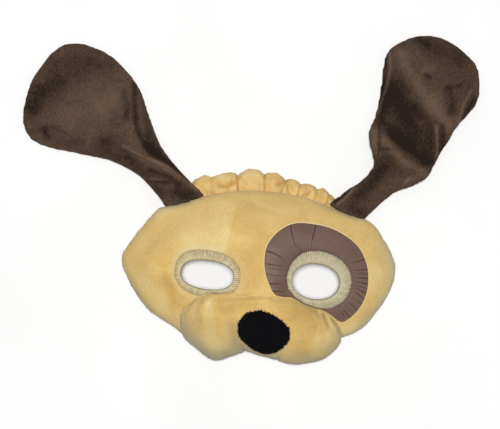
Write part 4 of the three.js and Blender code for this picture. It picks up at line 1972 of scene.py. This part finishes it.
    def build_edge(self, ground: Ground) -> SoftForm:
        """Builds and dresses the turned edge round the satin, pale with a painted highlight along its fold.

        Args:
            ground: the surfaces that it lies on.

        Returns:
            The edge's form.
        """
        steps, sides = self.edge_steps, self.edge_sides
        bearing = np.linspace(self.edge_first, self.edge_last, steps)
        spots = patch_edge(bearing, self.edge_radius * self.edge_outset)
        heights = ground.heights(spots) + self.edge_radius
        taper = np.sin(np.linspace(0.02, 0.98, steps) * math.pi) ** 0.3
        taper *= np.interp(bearing, self.edge_thins, (self.edge_least, 1.0))
        along = np.gradient(spots, axis=0)
        along /= np.linalg.norm(along, axis=1)[:, None]
        across = np.stack([along[:, 1], -along[:, 0]], axis=1)
        out = self.edge_radius * taper
        rows = []
        for angle in np.arange(sides) * 2 * math.pi / sides:
            flat = spots + across * (out * math.cos(angle))[:, None]
            rows.append(np.column_stack([flat, heights + out * math.sin(angle)]))
        points = np.stack(rows, axis=1)
        grid = np.vstack([points.reshape(-1, 3), points[0].mean(0), points[-1].mean(0)])
        tube = ring_faces(steps, sides)[: (steps - 1) * sides].tolist()
        for end, ring in ((len(grid) - 2, 0), (len(grid) - 1, (steps - 1) * sides)):
            tube += [[ring + k, ring + (k + 1) % sides, end] for k in range(sides)]
        form = SoftForm.from_faces("patch_turned_edge", grid, np.array(tube, dtype=object))
        form.store(TONE_AND_SHADE, np.zeros(len(grid)))
        form.dress(EDGE_HIGHLIGHT, Slot.CREAM_THREAD, ["patch_edge"])
        return form


@dataclass(kw_only=True)
class Ear(StuffedPiece):
    """One floppy ear of dark plush.

    Attributes:
        rim_rounds: rounds of smoothing along the rim once it is stuffed.
        rim_steps: how far each round goes in and out again.
        rim_slope: how steep the cloth is where that smoothing dies away, and where it is full.
        rim_swell: how far the rim is let out again sideways.
    """

    finish: Plush = BROWN
    slot: Slot = Slot.BROWN_PLUSH
    fill: float = 0.25
    voxel: float = 1.4
    rounds: int = 12
    stuffing: Stuffing = Stuffing(pressure=6.0, slack=-0.2, cap=1.0)
    rim_rounds: int = 60
    rim_steps: Spot = (0.5, -0.51)
    rim_slope: Spot = (0.85, 0.55)
    rim_swell: float = 0.32

    def stuff(self, form: SoftForm) -> None:
        """Fills the form and smooths its rim.

        Args:
            form: the ear's form.
        """
        self.stuffing.swell(form)
        flat, steep = self.rim_slope
        rim = np.clip((flat - np.abs(form.normals()[:, 2])) / (flat - steep), 0, 1)
        form.even(self.rim_steps * self.rim_rounds, rim)
        form.place(form.points() + self.rim_swell * rim[:, None] * form.normals() * (1, 1, 0))

    def bumps(self, form: SoftForm) -> np.ndarray:
        """Gives how far the unevenness lifts each point of the form, on its upper side alone."""
        return super().bumps(form) * np.clip(form.normals()[:, 2], 0, 1)


LEFT_LIP = ((-79, 33.3), (-73, 30.3), (-65, 26.4), (-58, 23.6), (-50, 19.8), (-45, 16), (-40, 12), (-33, 6))
LEFT_CHANNEL = ((-72, 72), (-71.6, 60), (-71, 50), (-69.4, 42), (-66, 35), (-61, 29.6))
LEFT_WEDGE = ((-64, 33), (-60.6, 29.2), (-55, 26), (-49, 21.8), (-43, 17), (-38, 12.6))
LEFT_FOLD = ((-65.6, 13.6), (-60, 12.6), (-55, 11.8))
LEFT_EAR = Ear(
    node="ear_left",
    name="left_ear",
    pile_name="left_ear_pile",
    creases=(
        Crease(LEFT_LIP, 1.1, -0.9),
        Crease(LEFT_CHANNEL, 1.5, 1.2, swell=0.2),
        Crease(LEFT_WEDGE, 1.6, 2.2, swell=0.1),
        Crease(LEFT_FOLD, 0.8, -0.6),
        Crease(((-62, 11.4), (-56, 10.6), (-50, 9.6)), 0.9, 0.8),
        Crease(((-92, 36), (-86, 38.4), (-79, 37)), 2.4, 0.5),
    ),
    # Painted highlights along the lips of the folds, painted shadow in the channel and wedge beside them,
    # painted shade in furrows, and darker patches of nap
    strokes=(
        Stroke(LEFT_LIP, 1.0, 0.7),
        Stroke(((-68, 24.5), (-58, 20.8), (-50, 17), (-45, 13.4)), 1.8, 0.35),
        Stroke(LEFT_WEDGE, 2.3, -1.0),
        Stroke(((-64, 40), (-61, 34), (-57, 30)), 3.0, -0.6),
        Stroke(((-88, 30), (-72, 20), (-58, 6)), 6.0, -0.4),
        Stroke(LEFT_CHANNEL, 1.7, -0.7),
        Stroke(((-67, 66), (-65, 54), (-62, 44)), 3.0, -0.25),
        Stroke(((-136, 57), (-128, 66), (-118, 73), (-109, 78)), 6.5, -0.5),
        Stroke(((-120, 84), (-108, 87), (-98, 84), (-90, 83)), 5.0, -0.35),
        Stroke(((-137, 58), (-133, 55)), 4.0, -0.35),
        Stroke(((-127, 43), (-126, 39)), 2.6, -0.65),
        Stroke(((-122, 44.6), (-118, 43.6), (-114, 41)), 1.6, -0.3),
        Stroke(((-92, 36.4), (-86, 38.6), (-80, 35)), 4.0, -0.2),
        Stroke(((-78.5, 66), (-76.5, 57), (-77, 51)), 2.4, -0.45),
        Stroke(((-112, 54), (-100, 56), (-88, 60)), 9.0, 0.3),
        Stroke(((-99, 39.4), (-101.6, 32)), 1.1, 0.3),
        Stroke(((-112, 34), (-108, 37)), 3.0, -0.2),
        Stroke(LEFT_FOLD, 0.7, 0.5),
        Stroke(((-58, 11.6), (-50, 10.4)), 0.8, -0.5),
        Stroke(((-62, 18), (-52, 15), (-44, 9.5)), 1.8, -0.5),
        Stroke(((-46, 5), (-42, 3.4), (-38, 2.6)), 4.5, -0.7),
        Stroke(((-76, 27), (-68, 22)), 3.0, -0.25),
    ),
    pulls=(
        Pull((-31.5, 4), (2.6, -0.8), 5),
        Pull((-50, -2), (0.2, -1.7), 7),
        Pull((-40.5, -0.5), (0, -1.0), 4),
        Pull((-123, 91), (0.4, -0.4), 12),
        Pull((-108, 97), (0.1, 0.8), 12),
        Pull((-88, 88), (0.8, 1.0), 14),
        Pull((-71, 63), (0.9, 0.3), 12),
        Pull((-62, 44), (1.1, 0.7), 12),
        Pull((-48, 26), (0.3, 0.4), 9),
        Pull((-138, 40), (-0.7, -0.8), 8),
        Pull((-120, 35), (0, -0.9), 11),
        Pull((-100, 31), (0, -1.0), 11),
        Pull((-84, 26), (0, -0.4), 9),
    ),
    pile=Pile(count=17000, length=0.65, radius=0.12, lean=(-0.6, 0.7, 0.0), spread=0.35, seed=24),
    swells=Unevenness(wavelength=18.0, height=0.3, seed=14),
)

RIGHT_SIDE_LIP = ((85.3, 90), (85.5, 82), (85, 77), (83.8, 70), (81.8, 64), (80.3, 60), (78.4, 53))
RIGHT_TIP_LIP = ((136, 68), (133, 63), (130.5, 58), (129, 52), (127.8, 47))
RIGHT_MIDDLE_LIP = ((114.2, 46), (114.6, 38), (114.8, 32), (114.4, 25))
RIGHT_STEM_LIP = ((53, -2.5), (57, 0.5), (60, 3.5), (64, 7.5))
RIGHT_EAR = Ear(
    node="ear_right",
    name="right_ear",
    pile_name="right_ear_pile",
    creases=(
        Crease(RIGHT_SIDE_LIP, 0.8, -0.9),
        Crease(((83.5, 90), (83.4, 82), (82.8, 75), (80.8, 66), (78.6, 58)), 0.8, 1.0),
        Crease(RIGHT_TIP_LIP, 0.9, -1.0),
        Crease(((138, 64), (134.4, 57), (131, 50)), 1.3, 0.9),
        Crease(RIGHT_MIDDLE_LIP, 0.9, -1.2),
        Crease(((117.2, 46), (117.8, 37), (117, 28)), 1.4, 1.4),
        Crease(((79, 46.6), (79, 36), (78, 27)), 0.7, 0.8),
        Crease(((80.4, 31.4), (85.4, 31.2)), 0.7, 0.6),
        Crease(RIGHT_STEM_LIP, 0.8, -0.7),
        Crease(((51.6, -1), (57, 3), (62, 8)), 0.9, 0.8),
        Crease(((105.4, 76), (108, 76.6), (110, 74)), 1.2, 0.6),
        Crease(((92.6, 8), (97.4, 13.4)), 0.8, -0.5),
    ),
    # Painted highlights along the lips and the bands that face the light, painted shade in furrows and the
    # valleys that face away, and darker patches of nap
    strokes=(
        Stroke(RIGHT_SIDE_LIP, 0.8, 0.7),
        Stroke(RIGHT_TIP_LIP, 0.9, 0.55),
        Stroke(RIGHT_MIDDLE_LIP, 1.0, 0.6),
        Stroke(RIGHT_STEM_LIP, 0.8, 0.8),
        Stroke(((83.4, 90), (83, 82), (82.4, 74), (80.6, 66), (78.6, 58)), 0.8, -0.6),
        Stroke(((87, 68), (91, 57), (97, 46), (104, 36), (108, 26)), 8.5, -0.75),
        Stroke(((82.5, 62), (80.5, 50), (87, 43), (96, 34)), 3.8, -0.5),
        Stroke(((101, 57), (109, 48), (112, 36)), 3.2, -0.4),
        Stroke(((93, 90), (98, 77), (104, 68.5), (110.5, 60.5), (116.5, 53.5), (121, 46.5)), 3.8, 0.4),
        Stroke(((90, 92), (96, 84)), 6.0, 0.05),
        Stroke(((81.2, 36.4), (86.6, 31), (91.4, 26), (97, 22), (104, 18.6)), 2.6, 0.5),
        Stroke(((86, 40), (93, 33.6), (101, 28.6), (107.5, 23.5)), 2.4, -0.5),
        Stroke(((75.6, 42), (75.4, 34), (77, 28)), 2.2, 0.4),
        Stroke(((79, 46.6), (79, 36), (78, 27)), 0.7, -0.5),
        Stroke(((80.4, 31.4), (85.4, 31.2)), 0.8, -0.5),
        Stroke(((107, 77), (109.6, 75.4)), 1.6, -0.6),
        Stroke(((98, 97), (112, 93.5), (128, 88)), 5.5, -0.25),
        Stroke(((104, 99), (108, 96)), 2.5, -0.4),
        Stroke(((118, 90), (132, 80), (138, 68)), 9.0, -0.2),
        Stroke(((121, 67), (124, 60), (123, 54)), 3.2, -0.5),
        Stroke(((121, 69), (128, 70)), 1.6, -0.4),
        Stroke(((137.5, 62), (134, 56), (131, 50)), 1.8, -0.7),
        Stroke(((118, 44), (118.4, 37), (118, 31)), 2.0, -0.7),
        Stroke(((114, 47), (118, 46)), 1.6, -0.4),
        Stroke(((81, 20), (74, 11), (67, 3), (62, -4), (67, -8.6)), 4.6, -0.55),
        Stroke(((84, 26), (86, 22), (92, 17.5)), 3.0, -0.15),
        Stroke(((97, 12), (104, 15), (108.6, 18.5)), 2.2, 0.35),
        Stroke(((92.6, 8), (97.4, 13.4)), 0.8, 0.5),
        Stroke(((51.6, -1), (57, 3), (62, 8)), 1.0, -0.8),
    ),
    pulls=(
        Pull((82, 74), (-0.9, 0.1), 18),
        Pull((84, 90), (-0.8, 0.3), 6),
        Pull((75, 45), (-1.1, 0), 12),
        Pull((73, 19), (-0.6, 0.4), 7),
        Pull((54, 2), (0.5, -0.7), 4),
        Pull((93, 98), (0.3, -0.5), 6),
        Pull((141, 60), (0.3, -0.4), 7),
        Pull((134, 54), (1.0, -0.8), 8),
        Pull((121, 38), (0.8, -0.4), 8),
        Pull((108, 14), (0.5, -0.7), 7),
        Pull((129, 95), (-0.6, -0.7), 12),
        Pull((103, 101), (0, -0.4), 8),
        Pull((97, 9), (0.5, -0.8), 6),
        Pull((56, -5), (-0.2, -0.8), 5),
        Pull((64, -9), (0, -1.4), 6),
        Pull((71, -10.5), (-0.3, -0.9), 4),
    ),
    pile=Pile(count=17000, length=0.65, radius=0.12, lean=(0.3, 0.9, 0.0), spread=0.35, seed=25),
    swells=Unevenness(wavelength=18.0, height=0.3, seed=15),
)


@dataclass(frozen=True)
class Puff:
    """One puff of the gathered strap, seen from above.

    Attributes:
        start: x of the fold where it starts.
        dip: y of the strap's upper edge in that fold.
        top: how far the puff rises above a line from fold to fold.
        crest: where its crest lies, as a share of its width.
    """

    start: float
    dip: float
    top: float
    crest: float = 0.5


@dataclass(kw_only=True)
class HeadStrap(StuffedPiece):
    """The cream strap, gathered into puffs on its elastic.

    Attributes:
        middle: the line along the middle of the strap.
        puffs: its puffs from left to right, and a last row for the fold that ends them.
    """

    node: str = "head_strap"
    name: str = "gathered_strap"
    pile_name: str = "strap_pile"
    finish: Plush = STRAP_CREAM
    slot: Slot = Slot.CREAM_PLUSH
    fill: float = 0.35
    voxel: float = 1.1
    rounds: int = 12
    middle: Route = ((-50, -13.5), (-33, 2), (-15, 7), (4, 8.4), (24, 4), (42, -3.2), (58, -15))
    puffs: tuple[Puff, ...] = (
        Puff(-36.0, 11.6, 2.0, 0.5),
        Puff(-24.6, 14.2, 1.7, 0.76),
        Puff(-8.4, 15.6, 3.2, 0.55),
        Puff(8.7, 15.9, 1.7, 0.36),
        Puff(21.3, 13.2, 0.9, 0.5),
        Puff(30.6, 10.0, 1.5, 0.5),
        Puff(41.3, 7.2, 2.2, 0.45),
        Puff(50.5, 1.4, 0.0),
    )
    stuffing: Stuffing = Stuffing(pressure=40.0, slack=0.2, cap=0.8)
    swells: Unevenness = Unevenness(wavelength=7.0, height=0.25, seed=16)
    crease_facing: float = -0.3
    creases: tuple[Crease, ...] = (
        Crease(((-24.8, 15.5), (-23.8, 9.3), (-24.2, 3)), 0.5, 0.5, NOWHERE, 0.0),
        Crease(((-8.9, 16), (-8.3, 11.2), (-8.1, 4)), 0.4, 1.2, NOWHERE, 0.0),
        Crease(((8.7, 16), (8.4, 11.2), (8.1, 4)), 0.4, 1.1, NOWHERE, 0.0),
        Crease(((21.3, 14), (21.7, 8.7), (22.6, 3.5)), 0.5, 0.7, NOWHERE, 0.0),
        Crease(((30.8, 11.5), (29.8, 6.2), (29.1, 1.5)), 0.5, 0.7, NOWHERE, 0.0),
        Crease(((41.5, 9), (39.7, 3.7), (38.8, -1)), 0.5, 0.7, NOWHERE, 0.0),
        Crease(((48.6, 5.5), (47.5, 0), (46.5, -4)), 0.5, 0.6, NOWHERE, 0.0),
        Crease(((-4.3, 14.5), (-3.4, 11.5), (-2, 8.5)), 0.7, 0.7),
        Crease(((-19, 9), (-14.4, 8.4), (-10.6, 11)), 1.2, 0.9),
        Crease(((16, 9.6), (19.4, 10.8)), 1.0, 0.8),
        Crease(((26.4, 10.4), (24.6, 6)), 0.7, 0.7),
        Crease(((36.4, 6.4), (33.4, 2.4)), 0.7, 0.7),
        Crease(((44.6, 4.4), (43.6, 0.4)), 0.6, 0.6),
    )
    # Painted shade in the folds between the puffs and painted highlights on the puffs' tops
    strokes: tuple[Stroke, ...] = (
        Stroke(((-19, 8.4), (-14.4, 8), (-10.6, 10.6)), 1.6, -0.55),
        Stroke(((16.4, 9.8), (19.4, 10.8)), 1.6, -0.55),
        Stroke(((-24.8, 15), (-24.2, 4)), 0.6, -0.35),
        Stroke(((-8.9, 17), (-8.1, 5)), 0.45, -1.2),
        Stroke(((8.7, 17), (8.1, 5)), 0.4, -1.0),
        Stroke(((21.4, 13), (22.4, 4.5)), 0.6, -0.5),
        Stroke(((30.8, 10.5), (29.3, 2.5)), 0.6, -0.5),
        Stroke(((41.4, 8), (39, 0)), 0.6, -0.5),
        Stroke(((48.5, 5), (46.8, -3)), 0.6, -0.5),
        Stroke(((36, 5.4), (33.6, 2.6)), 1.2, -0.6),
        Stroke(((-20, 13.8), (-14, 14.4)), 1.8, 0.5),
        Stroke(((-4, 16.4), (4, 16.6)), 1.8, 0.4),
        Stroke(((-12, 6.6), (-9.6, 7.4)), 1.2, 0.6),
    )
    pile: Pile = Pile(count=10000, length=0.7, radius=0.11, lean=(0.2, 0.7, 0.0), spread=0.45, seed=26)

    def stuff(self, form: SoftForm) -> None:
        """Fills the form and gathers it into puffs."""
        self.stuffing.swell(form)
        self.gather(form)

    def upper_edge(self, x: np.ndarray) -> np.ndarray:
        """Follows the upper edge of the puffs.

        Args:
            x: places along X.

        Returns:
            The edge's y at each place.
        """
        starts, dips, tops, crests = np.array([(p.start, p.dip, p.top, p.crest) for p in self.puffs]).T
        row = np.clip(np.searchsorted(starts, x) - 1, 0, len(starts) - 2)
        share = np.clip((x - starts[row]) / (starts[row + 1] - starts[row]), 0, 1)
        even = share ** (math.log(0.5) / np.log(crests[row]))
        round_top = 1 - np.abs(2 * even - 1) ** 3
        return dips[row] + share * (dips[row + 1] - dips[row]) + tops[row] * round_top

    def gather(self, form: SoftForm) -> None:
        """Draws the strap's upper half out to the edge of the puffs.

        Args:
            form: the strap's form.
        """
        points = form.points()
        columns = np.arange(self.puffs[0].start, self.puffs[-1].start, self.voxel)
        near = [np.abs(points[:, 0] - column) < self.voxel for column in columns]
        edge = np.interp(points[:, 0], columns, [points[rows, 1].max() for rows in near])
        places, middles = np.array(self.middle).T
        middle = np.interp(points[:, 0], places, middles)
        stretch = (self.upper_edge(points[:, 0]) - middle) / np.maximum(edge - middle, 1)
        upper = (points[:, 0] > columns[0]) & (points[:, 0] < columns[-1]) & (points[:, 1] > middle)
        points[:, 1] = np.where(upper, middle + (points[:, 1] - middle) * stretch, points[:, 1])
        form.place(points)


@dataclass
class Studio:
    """The pale table, the soft light and the camera that looks straight down.

    Attributes:
        pixel: size on the table of one pixel of the picture.
        image_width: width of the picture in pixels.
        centre: spot on the table in the middle of the picture.
        lens: focal length of the camera.
        sensor: width of the camera's sensor.
        table: side of the table top.
        sky: strength of the even light from all around.
        light_place: where the square soft light hangs, in metres.
        light_size: its side, in metres.
        light_power: its power, in watts.
    """

    pixel: float = 0.62
    image_width: int = 500
    centre: Spot = (-0.62, -8.99)
    lens: float = 150.0
    sensor: float = 36.0
    table: float = 5000.0
    sky: float = 0.18
    light_place: Triple = (-0.03, 0.07, 2.4)
    light_size: float = 0.35
    light_power: float = 50.0

    def build(self) -> None:
        """Sets the table, the lights and the camera up."""
        self.lay_table()
        self.hang_light()
        self.light_sky()
        self.aim_camera()
        bpy.context.scene.view_settings.view_transform = "Standard"

    def lay_table(self) -> None:
        """Lays a pale table top under the mask."""
        half = self.table / 2
        corners = np.array([(-half, -half, 0), (half, -half, 0), (half, half, 0), (-half, half, 0)])
        form = SoftForm.from_faces("table_top", corners, np.array([[0, 1, 2, 3]]))
        form.piece.data.materials.append(TABLE_PAPER.material())

    def hang_light(self) -> None:
        """Hangs the square soft light, pointed at the mask."""
        lamp = bpy.data.lights.new("key_light", "AREA")
        lamp.size = self.light_size
        lamp.energy = self.light_power
        light = bpy.data.objects.new("key_light", lamp)
        light.location = self.light_place
        light.rotation_euler = (-Vector(self.light_place)).to_track_quat("-Z", "Y").to_euler()
        bpy.context.scene.collection.objects.link(light)

    def light_sky(self) -> None:
        """Fills the room with even white light."""
        world = bpy.data.worlds.new("white_room")
        world.use_nodes = True
        background = world.node_tree.nodes["Background"]
        background.inputs["Color"].default_value = (1.0, 1.0, 1.0, 1.0)
        background.inputs["Strength"].default_value = self.sky
        bpy.context.scene.world = world

    def aim_camera(self) -> None:
        """Puts the camera over the middle of the picture, looking straight down."""
        lens = bpy.data.cameras.new("overhead_camera")
        lens.lens = self.lens
        lens.sensor_width = self.sensor
        camera = bpy.data.objects.new("overhead_camera", lens)
        height = self.image_width * self.pixel * self.lens / self.sensor
        camera.location = (self.centre[0] * MM, self.centre[1] * MM, height * MM)
        bpy.context.scene.collection.objects.link(camera)
        bpy.context.scene.camera = camera


def report(forms: Sequence[SoftForm]) -> None:
    """Logs each piece's name and number of faces."""
    for form in forms:
        LOG.info("%s: %d faces", form.piece.name, len(form.piece.data.polygons))


def main() -> None:
    """Builds the studio and every piece of the mask, in order."""
    logging.basicConfig(level=logging.INFO, format="%(name)s: %(message)s")
    Studio().build()
    face = FacePanel().build()
    ground = Ground(face)
    muzzle = Muzzle(ground=ground).build()
    ground.cover(muzzle)
    report([face, muzzle])
    report([LEFT_STITCHING.build(ground), RIGHT_STITCHING.build(ground)])
    report(EyePatch().build(ground))
    report([Nose().build(), LEFT_EAR.build(), RIGHT_EAR.build(), HeadStrap().build()])


if __name__ == "__main__":
    main()
